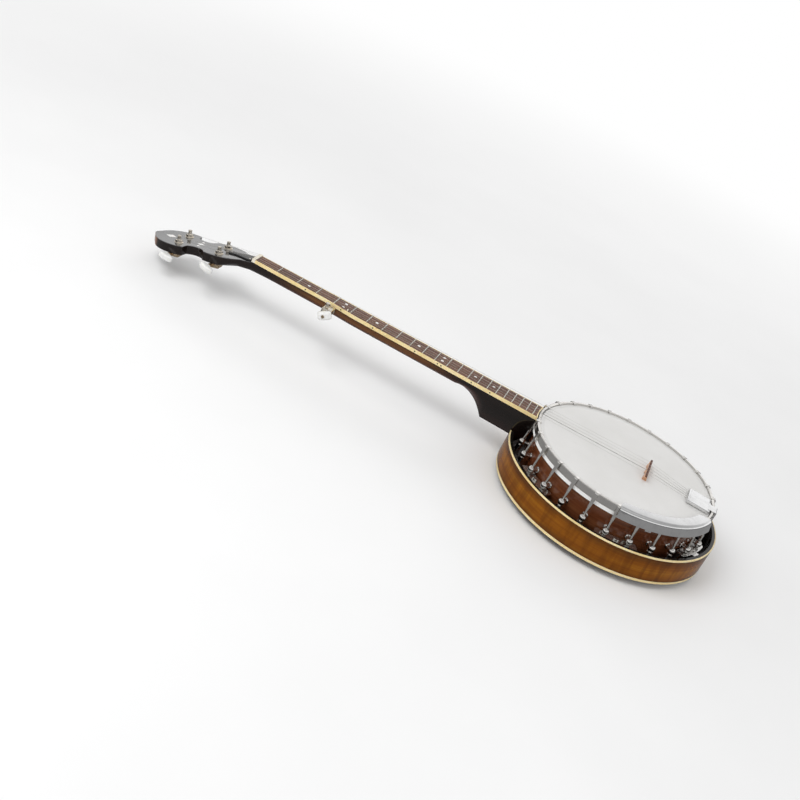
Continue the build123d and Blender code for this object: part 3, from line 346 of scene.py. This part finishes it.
def sunburst(finish, grain, figure, edge_share):
    """Amber to dark brown as edge_share goes from 0 to 1, with figure and grain in the amber."""
    amber = finish.ramp(
        grain, (0.26, (0.130, 0.034, 0.002)), (0.50, (0.235, 0.076, 0.004)), (0.74, (0.350, 0.145, 0.010)),
    )
    amber = finish.mix(finish.times(figure, 0.45), amber, (0.085, 0.024, 0.002))
    brown = finish.ramp(grain, (0.28, (0.026, 0.009, 0.003)), (0.74, (0.080, 0.028, 0.008)))
    return finish.mix(edge_share, amber, brown)


def resonator_wall_finish():
    """High-gloss side wall, amber in the middle of its height and dark towards the bindings and inside."""
    finish = Finish("resonator_veneer")
    place = finish.unrolled(RESONATOR_RADIUS)
    grain = wood_grain(finish, place, 5.0, 190.0)
    figure = finish.span(finish.noise(1.0, 3, 0.55, 0.6, finish.stretch(place, 85.0, 12.0, 16.0)), 0.40, 0.66)
    height = finish.math("ADD", finish.z, finish.wander(14.0, 3, 0.014))
    top = finish.span(height, RESONATOR_TOP - 0.015, RESONATOR_TOP - 0.003, 0.0, 0.75)
    bottom = finish.span(height, RESONATOR_EDGE + 0.003, RESONATOR_EDGE + 0.014, 0.7, 0.0)
    colour = sunburst(finish, grain, figure, finish.math("ADD", top, bottom, clamp=True))
    outside = finish.span(finish.from_axis(), RESONATOR_RADIUS - 0.0012, RESONATOR_RADIUS - 0.0004)
    finish.set(base_color=finish.mix(outside, (0.008, 0.006, 0.005), colour))
    return lacquer(finish, grain, 0.10, coat=0.2, shine=0.15)


def resonator_back_finish():
    """High-gloss back with a round sunburst and a bookmatched figure, and paler wood inside."""
    finish = Finish("resonator_back_veneer")
    mirrored = finish.vector(finish.x, finish.math("ABSOLUTE", finish.y), finish.z)
    tilted = finish.add("ShaderNodeVectorRotate", rotation_type="Z_AXIS")
    finish.feed(tilted.inputs["Vector"], mirrored)
    tilted.inputs["Angle"].default_value = math.radians(12)
    place = tilted.outputs[0]
    grain = wood_grain(finish, place, 5.0, 150.0)
    figure = finish.span(finish.noise(1.0, 3, 0.55, 0.7, finish.stretch(place, 75.0, 10.0, 10.0)), 0.38, 0.68)
    reach = finish.math("ADD", finish.from_axis(), finish.wander(9.0, 3, 0.03))
    colour = sunburst(finish, grain, figure, finish.span(reach, 0.075, 0.158))
    inside = finish.span(finish.z, BACK_INSIDE, 0.0049)
    flat = finish.span(finish.from_axis(), BACK_FLAT_RADIUS, 0.1345, 1.0, 0.0)
    finish.set(base_color=finish.mix(finish.times(inside, flat), colour, (0.30, 0.17, 0.08)))
    return lacquer(finish, grain, 0.10, coat=0.2, shine=0.15)


def bridge_finish():
    """Oiled hard wood with its grain along the bridge."""
    finish = Finish("bridge_maple")
    place = finish.vector(finish.y, finish.x, finish.z)
    grain = wood_grain(finish, place, 14.0, 700.0)
    colour = finish.ramp(
        grain, (0.28, (0.36, 0.160, 0.080)), (0.50, (0.58, 0.300, 0.165)), (0.74, (0.74, 0.450, 0.280)),
    )
    flecks = pores(finish, place, 300.0, 1800.0)
    colour = finish.mix(finish.times(flecks, 0.5), colour, (0.17, 0.06, 0.02))
    normal = finish.bump(grain, 0.00004, 0.5, finish.soft_edges(0.0003))
    return finish.set(base_color=colour, roughness=0.42, normal=normal)


def bridge_cap_finish():
    """Dark brown hardwood with its grain along the bridge."""
    finish = Finish("bridge_ebony")
    place = finish.vector(finish.y, finish.x, finish.z)
    grain = wood_grain(finish, place, 20.0, 900.0)
    colour = finish.ramp(grain, (0.3, (0.045, 0.016, 0.010)), (0.72, (0.150, 0.055, 0.032)))
    return finish.set(
        base_color=colour,
        roughness=finish.span(grain, 0.3, 0.7, 0.34, 0.48),
        specular_ior_level=0.2,
        normal=finish.bump(grain, 0.00003, 0.5, finish.soft_edges(0.0002)),
    )


# --- Metal ---------------------------------------------------------------------------------------------


def metal(name, colour, roughness, smudge=0.08, scratch=0.00001, tarnish=(0.30, 0.24, 0.17), spots=0.12):
    """Plated or bare metal: smudges change the gloss, scratches cross it, tarnish gathers in spots."""
    finish = Finish(name)
    film = finish.noise(55.0, 5, 0.65, 0.5)
    fine = finish.noise(900.0, 3, 0.6)
    lines = finish.noise(1.0, 2, 0.5, 0.0, finish.stretch(finish.place, 220.0, 2600.0, 1500.0))
    dull = tuple(channel * 0.72 for channel in colour)
    tone = finish.mix(finish.span(film, 0.35, 0.75, 0.0, 0.35), colour, dull)
    stain = finish.times(finish.span(finish.noise(140.0, 4, 0.7, 0.6), 0.60, 0.74), spots)
    gloss = finish.span(film, 0.3, 0.8, roughness, roughness + smudge)
    gloss = finish.math("ADD", gloss, finish.times(fine, 0.05))
    normal = finish.bump(lines, scratch, 0.2, finish.soft_edges(0.0002))
    normal = finish.bump(finish.noise(130.0, 2), 0.00003, 0.08, normal)
    return finish.set(
        base_color=finish.mix(stain, tone, tarnish), metallic=1.0, roughness=gloss, normal=normal,
    )


def string_finish():
    """Grey wire with fine winding marks along it."""
    finish = Finish("string_steel")
    turns = finish.math("SINE", finish.times(finish.x, 2 * math.pi / WINDING_PITCH))
    film = finish.noise(80.0, 4, 0.6)
    colour = finish.ramp(film, (0.3, (0.30, 0.285, 0.26)), (0.7, (0.48, 0.47, 0.44)))
    return finish.set(
        base_color=colour,
        metallic=1.0,
        roughness=finish.span(film, 0.3, 0.75, 0.24, 0.40),
        normal=finish.bump(turns, 0.00002, 0.3),
    )


# --- Plastic, bone, pearl and the head -----------------------------------------------------------------


def binding_finish():
    """Cream plastic, yellowed unevenly, with a little grime worked into it."""
    finish = Finish("cream_binding")
    age = finish.noise(26.0, 4, 0.6)
    colour = finish.ramp(
        age, (0.3, (0.93, 0.77, 0.45)), (0.55, (0.88, 0.69, 0.35)), (0.75, (0.78, 0.56, 0.24)),
    )
    grime = finish.times(finish.span(finish.noise(230.0, 5, 0.75, 0.3), 0.60, 0.78), 0.4)
    colour = finish.mix(grime, colour, (0.34, 0.20, 0.08))
    return finish.set(
        base_color=colour,
        roughness=finish.span(age, 0.3, 0.7, 0.24, 0.36),
        subsurface_weight=0.12,
        subsurface_radius=(0.004, 0.0025, 0.001),
        subsurface_scale=1.0,
        coat_weight=0.3,
        normal=finish.bump(finish.noise(500.0, 3), 0.00003, 0.3, finish.soft_edges(0.0003)),
    )


def pearl_finish():
    """Shell: folded bands of pale pink, green and grey under a polish."""
    finish = Finish("pearl")
    bands = finish.noise(170.0, 4, 0.6, 2.4)
    colour = finish.ramp(
        bands, (0.25, (0.74, 0.70, 0.66)), (0.42, (0.93, 0.92, 0.87)), (0.52, (0.88, 0.80, 0.79)),
        (0.62, (0.80, 0.88, 0.84)), (0.78, (0.95, 0.93, 0.90)),
    )
    return finish.set(
        base_color=colour,
        roughness=finish.span(bands, 0.3, 0.7, 0.14, 0.26),
        coat_weight=0.6,
        sheen_weight=0.15,
        normal=finish.bump(bands, 0.00004, 0.3),
    )


def button_finish():
    """Pearl-look plastic for the tuning buttons: clouded swirls with some depth."""
    finish = Finish("button_pearloid")
    swirls = finish.noise(120.0, 4, 0.55, 3.0)
    flakes = finish.cells(420.0)
    blend = finish.math("ADD", finish.times(swirls, 0.75), finish.times(flakes, 0.35))
    colour = finish.ramp(
        blend, (0.25, (0.70, 0.69, 0.66)), (0.48, (0.88, 0.875, 0.85)), (0.62, (0.80, 0.80, 0.79)),
        (0.80, (0.94, 0.93, 0.90)),
    )
    return finish.set(
        base_color=colour,
        roughness=finish.span(swirls, 0.3, 0.7, 0.16, 0.30),
        subsurface_weight=0.25,
        subsurface_radius=(0.004, 0.004, 0.0035),
        subsurface_scale=1.0,
        coat_weight=0.5,
        normal=finish.bump(swirls, 0.00006, 0.25),
    )


def plain_plastic(name, dark, light, roughness):
    """Plastic or bone in one colour, clouded and finely gritted between its dark and light shades."""
    finish = Finish(name)
    cloud = finish.noise(60.0, 4, 0.6)
    grit = finish.noise(300.0, 4, 0.65)
    blend = finish.math("ADD", finish.times(cloud, 0.5), finish.times(grit, 0.5))
    return finish.set(
        base_color=finish.ramp(blend, (0.3, dark), (0.7, light)),
        roughness=finish.span(cloud, 0.3, 0.75, roughness, roughness + 0.14),
        normal=finish.bump(grit, 0.00003, 0.35, finish.soft_edges(0.0002)),
    )


def head_finish():
    """Frosted drum head: sprayed coating, faint hand marks, a line over the tone hoop, a white collar."""
    finish = Finish("head_film")
    spray = finish.noise(1500.0, 3, 0.6)
    cloud = finish.noise(11.0, 4, 0.55)
    reach = finish.from_axis()
    colour = finish.ramp(cloud, (0.3, (0.745, 0.735, 0.715)), (0.7, (0.800, 0.790, 0.775)))
    rise = finish.span(reach, 0.1325, 0.1352)
    fall = finish.span(reach, 0.1368, 0.1392, 1.0, 0.0)
    line = finish.times(finish.times(rise, fall), 0.28)
    colour = finish.mix(line, colour, (0.60, 0.59, 0.575))
    colour = finish.mix(finish.span(reach, COLLAR_RADIUS, 0.1404), colour, (0.92, 0.915, 0.90))
    touch = finish.noise(30.0, 5, 0.7, 0.6)
    on_top = finish.span(finish.z, HEAD_TOP - 0.0004, HEAD_TOP - 0.0001)
    marks = finish.times(finish.span(touch, 0.56, 0.76, 0.0, 0.22), on_top)
    colour = finish.mix(marks, colour, (0.66, 0.645, 0.62))
    normal = finish.bump(spray, 0.00005, 0.55)
    normal = finish.bump(finish.noise(14.0, 2), 0.0004, 0.12, normal)
    return finish.set(
        base_color=colour,
        roughness=finish.span(touch, 0.3, 0.75, 0.44, 0.60),
        subsurface_weight=0.08,
        subsurface_radius=(0.004, 0.004, 0.004),
        subsurface_scale=1.0,
        normal=normal,
    )


# --- Mesh kit ------------------------------------------------------------------------------------------


def islands(node):
    """Vertex groups of a CAD node's separate solids, each an array of points in metres."""
    mesh = frame["nodes"][node].data
    points = np.empty(len(mesh.vertices) * 3)
    mesh.vertices.foreach_get("co", points)
    points = points.reshape(-1, 3)
    keys, merged = np.unique(np.round(points * 1e6).astype(np.int64), axis=0, return_inverse=True)
    owner = list(range(len(keys)))

    def top(index):
        while owner[index] != index:
            owner[index] = owner[owner[index]]
            index = owner[index]
        return index

    merged = merged.reshape(-1)
    for polygon in mesh.polygons:
        corners = [top(merged[v]) for v in polygon.vertices]
        for corner in corners[1:]:
            owner[top(corner)] = top(corners[0])
    groups = {}
    for index in range(len(keys)):
        groups.setdefault(top(index), []).append(keys[index] / 1e6)
    return [np.array(group) for group in groups.values()]


def make_mesh(name, vertices, faces, material, smooth=True):
    mesh = bpy.data.meshes.new(name)
    mesh.from_pydata([tuple(v) for v in vertices], [], faces)
    mesh.update()
    mesh.polygons.foreach_set("use_smooth", [smooth] * len(mesh.polygons))
    mesh.materials.append(material)
    made = bpy.data.objects.new(name, mesh)
    bpy.context.scene.collection.objects.link(made)
    return made


def tube_parts(path, radii, sides=8):
    """Vertices and faces of a closed tube along a path, with one radius for each point."""
    path = [Vector(p) for p in path]
    vertices, faces = [], []
    heading = (path[1] - path[0]).normalized()
    side = heading.orthogonal().normalized()
    for index, point in enumerate(path):
        ahead = path[min(index + 1, len(path) - 1)] - path[max(index - 1, 0)]
        turn = heading.rotation_difference(ahead.normalized())
        side = turn @ side
        heading = ahead.normalized()
        over = heading.cross(side)
        for k in range(sides):
            angle = 2 * math.pi * k / sides
            vertices.append(point + (side * math.cos(angle) + over * math.sin(angle)) * radii[index])
    for ring in range(len(path) - 1):
        for k in range(sides):
            following = (k + 1) % sides
            a, b = ring * sides + k, ring * sides + following
            faces.append((a, b, b + sides, a + sides))
    faces.append(tuple(reversed(range(sides))))
    faces.append(tuple(range((len(path) - 1) * sides, len(path) * sides)))
    return vertices, faces


def join_parts(name, parts, material):
    vertices, faces = [], []
    for part_vertices, part_faces in parts:
        start = len(vertices)
        vertices += part_vertices
        faces += [tuple(v + start for v in face) for face in part_faces]
    return make_mesh(name, vertices, faces, material)


def even_path(corners, step):
    """Points every step along straight stretches between the corners."""
    points = [Vector(corners[0])]
    for start, end in zip(corners, corners[1:]):
        start, end = Vector(start), Vector(end)
        count = max(1, round((end - start).length / step))
        points += [start.lerp(end, k / count) for k in range(1, count + 1)]
    return points


# --- Strings -------------------------------------------------------------------------------------------


def string_corners(points):
    """Corners of one string's path: the middles of the vertex rings that bound its straight stretches."""
    order = points[np.argsort(points[:, 0])]
    groups = [[order[0]]]
    for point in order[1:]:
        if point[0] - groups[-1][-1][0] > 2.5 * MM:
            groups.append([])
        groups[-1].append(point)
    return [Vector(np.array(group).mean(axis=0)) for group in groups]


def string_radius(points):
    """Radius at the end nearest the tuner, where the string is cut square."""
    first = points[points[:, 0] < points[:, 0].min() + 1.2 * MM]
    middle = first.mean(axis=0)
    return float(np.median(np.linalg.norm(first - middle, axis=1)))


def sorted_strings():
    """The strings from the first, on the far side, to the short fifth."""
    return sorted(islands("strings"), key=lambda points: -points[np.argmax(points[:, 0])][1])


def make_winding(strings, material):
    """Wire wound round the fourth string from its post, over the nut, to the bridge, as close-set ribs."""
    points = strings[3]
    radius = string_radius(points)
    # the post, the nut's two edges and the bridge
    wound = string_corners(points)[:4]
    path = even_path(wound, 0.25 * MM)
    radii = [radius * (1.16 if index % 2 else 1.03) for index in range(len(path))]
    winding = join_parts("fourth_string_winding", [tube_parts(path, radii, 7)], material)
    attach(winding, "instrument")


def make_wraps(strings, joints, material):
    """Turns of string round each post, riding with the post, and the cut end through its hole."""
    bodies = ["tuner_3_shaft", "tuner_4_shaft", "tuner_2_shaft", "tuner_1_shaft", "fifth_shaft"]
    for body, points in zip(bodies, strings):
        waist = FIFTH_POST_WAIST if body == "fifth_shaft" else POST_WAIST
        joint = next(j for j in joints if j["child"] == body)
        axis = Vector(joint["axis"]).normalized()
        foot = Vector(joint["pos_m"])
        wire = max(string_radius(points), 0.15 * MM)
        end = min(string_corners(points), key=lambda corner: (corner - foot).length)
        height = (end - foot).dot(axis)
        arm = end - foot - axis * height
        outward = arm.normalized()
        onward = axis.cross(outward)
        if onward.x > 0:
            onward = -onward
        reach = waist + wire
        pitch = 2.1 * wire
        turns = min(3.5, 1.4 * MM / pitch)
        steps = round(turns * 28)
        path = [end]
        for k in range(2, steps + 1):
            angle = 2 * math.pi * turns * k / steps
            ease = min(1.0, k / 14)
            spoke = arm.length * (1 - ease) + reach * ease
            level = height - pitch * turns * (k / steps)
            heading = outward * math.cos(angle) + onward * math.sin(angle)
            path.append(foot + axis * level + heading * spoke)
        hole = foot + axis * (height + 0.1 * MM)
        tail = [
            hole - outward * 5.4 * MM + axis * 0.8 * MM,
            hole - outward * 4.2 * MM + axis * 0.2 * MM,
            hole - outward * 2.0 * MM,
            hole + outward * 1.5 * MM,
        ]
        parts = [tube_parts(path, [wire] * len(path)), tube_parts(tail, [wire] * len(tail))]
        wrap = join_parts(f"{body}_string_wrap", parts, material)
        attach(wrap, body)


def make_loops(strings, material):
    """Loop end of each string: a ring round its peg and the twisted stretch in front of it."""
    parts = []
    wire = LOOP_WIRE
    twists, steps = 10, 119
    for points in strings:
        front, back = string_corners(points)[-2:]
        along = (back - front).normalized()
        across = Vector((0, 1, 0))
        up = along.cross(across)
        centre = back + along * 1.5 * MM
        spoke = PEG_RADIUS + wire * 1.3
        ring = [
            centre + (along * math.cos(angle) + across * math.sin(angle)) * spoke
            for angle in (2 * math.pi * k / 28 for k in range(29))
        ]
        parts.append(tube_parts(ring, [wire] * len(ring)))
        coil = string_radius(points) + wire
        twist = []
        for k in range(steps + 1):
            angle = 2 * math.pi * twists * k / steps
            place = back - along * (0.3 + 4.6 * k / steps) * MM
            twist.append(place + (across * math.cos(angle) + up * math.sin(angle)) * coil)
        parts.append(tube_parts(twist, [wire] * len(twist), 6))
    loops = join_parts("string_loops", parts, material)
    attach(loops, "instrument")


# --- Finishes on the CAD pieces ------------------------------------------------------------------------


def soften(node):
    """Smooth shading with crisp edges, without touching the mesh's own vertices."""
    obj = frame["nodes"][node]
    mesh = obj.data
    mesh.polygons.foreach_set("use_smooth", [True] * len(mesh.polygons))
    if "custom_normal" in mesh.attributes:
        mesh.attributes.remove(mesh.attributes["custom_normal"])
    weld = obj.modifiers.new("weld", "WELD")
    weld.merge_threshold = 1e-6
    split = obj.modifiers.new("edges", "EDGE_SPLIT")
    split.split_angle = math.radians(32)


def dress(nodes, finish):
    for node in nodes:
        materials = frame["nodes"][node].data.materials
        materials.clear()
        materials.append(finish.material)
        soften(node)


def numbered(stem):
    return [f"{stem}_{number}" for number in range(1, 5)]


def dress_all():
    dress(["neck"], neck_finish())
    dress(["headstock_overlay"], headstock_finish())
    dress(["fingerboard"], fingerboard_finish())
    dress(["fingerboard_binding", "resonator_binding"], binding_finish())
    dress(["pearl_markers"], pearl_finish())
    dress(["rim"], rim_finish())
    dress(["drum_head"], head_finish())
    dress(["resonator_bowl"], resonator_wall_finish())
    dress(["resonator_back"], resonator_back_finish())
    dress(["bridge"], bridge_finish())
    dress(["bridge_cap"], bridge_cap_finish())
    dress(numbered("tuner_button") + ["fifth_button"], button_finish())
    dress_in_plastic()
    dress_in_metal()


def dress_in_plastic():
    dots = plain_plastic("dark_dots", (0.010, 0.009, 0.008), (0.03, 0.028, 0.026), 0.35)
    dress(["side_dots"], dots)
    bone = plain_plastic("nut_bone", (0.72, 0.66, 0.52), (0.86, 0.82, 0.72), 0.34)
    dress(["nut", "fifth_string_nut"], bone)
    black = plain_plastic("cover_plastic", (0.008, 0.008, 0.009), (0.02, 0.02, 0.021), 0.13)
    dress(["truss_rod_cover"], black)


def dress_in_metal():
    dress(["frets"], metal("fret_wire", (0.68, 0.65, 0.59), 0.20, spots=0.2))
    dress(["truss_rod_nut"], metal("adjuster_brass", (0.72, 0.52, 0.22), 0.24))
    dress(["tone_hoop"], metal("tone_metal", (0.70, 0.60, 0.40), 0.22))
    dress(["flesh_hoop"], metal("flesh_metal", (0.72, 0.72, 0.73), 0.34))
    dress(["flange_plates", "resonator_lugs"], metal("plate_nickel", (0.72, 0.71, 0.69), 0.18, 0.14))
    steel = metal("rod_steel", (0.50, 0.50, 0.51), 0.30, 0.12, 0.00002, spots=0.3)
    dress(["truss_rod", "coordinator_rods", "coordinator_nuts", "neck_lag_bolts", "shoe_bolts"], steel)
    nickel = metal("pot_nickel", (0.74, 0.72, 0.69), 0.11)
    dress(["tension_hoop", "bracket_hooks", "bracket_shoes", "bracket_nuts"], nickel)
    screw_nickel = metal("screw_nickel", (0.68, 0.66, 0.62), 0.16, spots=0.25)
    dress(["truss_cover_screws", "tuner_screws", "resonator_screws"], screw_nickel)
    warm_nickel = metal("tuner_nickel", (0.76, 0.70, 0.61), 0.13, spots=0.2)
    dress(numbered("tuner_post") + ["tuner_bushings", "tuner_washers"], warm_nickel)
    dress(["fifth_post", "fifth_housing"], warm_nickel)
    aged = metal(
        "tuner_housing_metal", (0.66, 0.52, 0.36), 0.20, 0.12, spots=0.35, tarnish=(0.22, 0.13, 0.06),
    )
    dress(numbered("tuner_worm") + ["tuner_housings", "fifth_worm"], aged)
    chrome = metal("tail_chrome", (0.77, 0.77, 0.77), 0.07, 0.07, 0.000008, spots=0.05)
    dress(["tailpiece_base", "tailpiece_lid", "tailpiece_pins", "tailpiece_hanger"], chrome)
    dress(["armrest", "armrest_clamps"], chrome)


# --- Studio --------------------------------------------------------------------------------------------


def studio_world():
    """White to the camera; to all else dark walls, a bright band above them and a dimmer ceiling."""
    world = bpy.data.worlds.new("studio")
    bpy.context.scene.world = world
    world.use_nodes = True
    tree = world.node_tree
    tree.nodes.clear()

    direction = add_node(tree, "ShaderNodeTexCoord").outputs["Generated"]
    split = add_node(tree, "ShaderNodeSeparateXYZ")
    tree.links.new(direction, split.inputs[0])
    height = add_node(tree, "ShaderNodeMapRange")
    height.inputs["From Min"].default_value = -1
    tree.links.new(split.outputs[2], height.inputs["Value"])
    room = add_node(tree, "ShaderNodeValToRGB")
    levels = [
        (0.0, 0.40), (0.44, 0.30), (0.50, 0.08), (0.56, 0.14), (0.63, 1.20), (0.69, 1.20), (0.75, 0.60),
        (0.88, 0.42), (1.0, 0.62),
    ]
    set_stops(room, [(position, (level, level, level)) for position, level in levels])
    tree.links.new(height.outputs[0], room.inputs[0])
    seen = add_node(tree, "ShaderNodeBackground")
    seen.inputs[0].default_value = (1, 1, 1, 1)
    lit = add_node(tree, "ShaderNodeBackground")
    tree.links.new(room.outputs[0], lit.inputs[0])
    choose = add_node(tree, "ShaderNodeMixShader")
    seen_by = add_node(tree, "ShaderNodeLightPath")
    tree.links.new(seen_by.outputs["Is Camera Ray"], choose.inputs[0])
    tree.links.new(lit.outputs[0], choose.inputs[1])
    tree.links.new(seen.outputs[0], choose.inputs[2])
    tree.links.new(choose.outputs[0], add_node(tree, "ShaderNodeOutputWorld").inputs[0])


def soft_light(name, place, target, width, height, power):
    """Area light that lights the pieces but isn't mirrored in them."""
    data = bpy.data.lights.new(name, "AREA")
    data.shape = "RECTANGLE"
    data.size = width
    data.size_y = height
    data.energy = power
    light = bpy.data.objects.new(name, data)
    light.location = place
    aim = Vector(target) - Vector(place)
    light.rotation_euler = aim.to_track_quat("-Z", "Y").to_euler()
    light.visible_glossy = False
    bpy.context.scene.collection.objects.link(light)


def make_floor():
    """Pale floor that fades into the white background with distance, and mirrors as a dark card."""
    steps = 48
    rings = (0.4, 1.2, 3.0, 14.0)
    vertices = [(0, 0, 0)]
    faces = []
    for radius in rings:
        for k in range(steps):
            angle = 2 * math.pi * k / steps
            vertices.append((radius * math.cos(angle), radius * math.sin(angle), 0))
    for k in range(steps):
        following = (k + 1) % steps
        faces.append((0, 1 + k, 1 + following))
        for ring in range(len(rings) - 1):
            low, high = 1 + ring * steps, 1 + (ring + 1) * steps
            faces.append((low + k, high + k, high + following, low + following))
    finish = Finish("floor_paint")
    cloud = finish.noise(3.0, 3, 0.5)
    finish.set(
        base_color=finish.ramp(cloud, (0.3, (0.90, 0.90, 0.90)), (0.7, (0.93, 0.93, 0.93))),
        roughness=0.85,
        specular_ior_level=0.1,
    )
    fade = finish.span(finish.from_axis(), 0.9, 2.6)
    mirrored = finish.add("ShaderNodeLightPath").outputs["Is Glossy Ray"]
    glow = finish.add("ShaderNodeEmission")
    card = finish.add("ShaderNodeEmission")
    finish.feed(card.inputs["Color"], (0.19, 0.19, 0.19))
    blend = finish.add("ShaderNodeMixShader")
    finish.feed(blend.inputs[0], fade)
    finish.feed(blend.inputs[1], finish.surface.outputs[0])
    finish.feed(blend.inputs[2], glow.outputs[0])
    choose = finish.add("ShaderNodeMixShader")
    finish.feed(choose.inputs[0], finish.times(mirrored, 0.85))
    finish.feed(choose.inputs[1], blend.outputs[0])
    finish.feed(choose.inputs[2], card.outputs[0])
    output = next(node for node in finish.tree.nodes if node.type == "OUTPUT_MATERIAL")
    finish.feed(output.inputs["Surface"], choose.outputs[0])
    floor = make_mesh("floor", vertices, faces, finish.material, smooth=False)
    floor.location.z = -FLOOR_GAP


def make_camera():
    data = bpy.data.cameras.new("camera")
    data.lens = CAMERA_LENS
    data.sensor_width = 36
    data.clip_start = 0.05
    data.clip_end = 60
    camera = bpy.data.objects.new("camera", data)
    aim = Vector(CAMERA_TARGET) - Vector(CAMERA_PLACE)
    level = aim.to_track_quat("-Z", "Y")
    camera.location = CAMERA_PLACE
    camera.rotation_mode = "QUATERNION"
    camera.rotation_quaternion = level @ Quaternion((0, 0, 1), math.radians(CAMERA_ROLL))
    bpy.context.scene.collection.objects.link(camera)
    bpy.context.scene.camera = camera


def make_studio():
    scene = bpy.context.scene
    scene.view_settings.view_transform = "Standard"
    scene.view_settings.look = "None"
    studio_world()
    middle = (-0.25, 0, 0.05)
    soft_light("key_light", (-1.3, -1.1, 1.9), middle, 1.5, 1.1, 25)
    soft_light("fill_light", (1.5, -1.3, 1.3), middle, 1.2, 1.2, 4)
    soft_light("rim_light", (0.1, 1.9, 1.3), middle, 2.0, 0.7, 7)
    make_floor()
    make_camera()


# --- Build ---------------------------------------------------------------------------------------------

dress_all()
strings = sorted_strings()
wire_finish = string_finish().material
make_winding(strings, wire_finish)
make_wraps(strings, frame["joints"], wire_finish)
make_loops(strings, wire_finish)
make_studio()
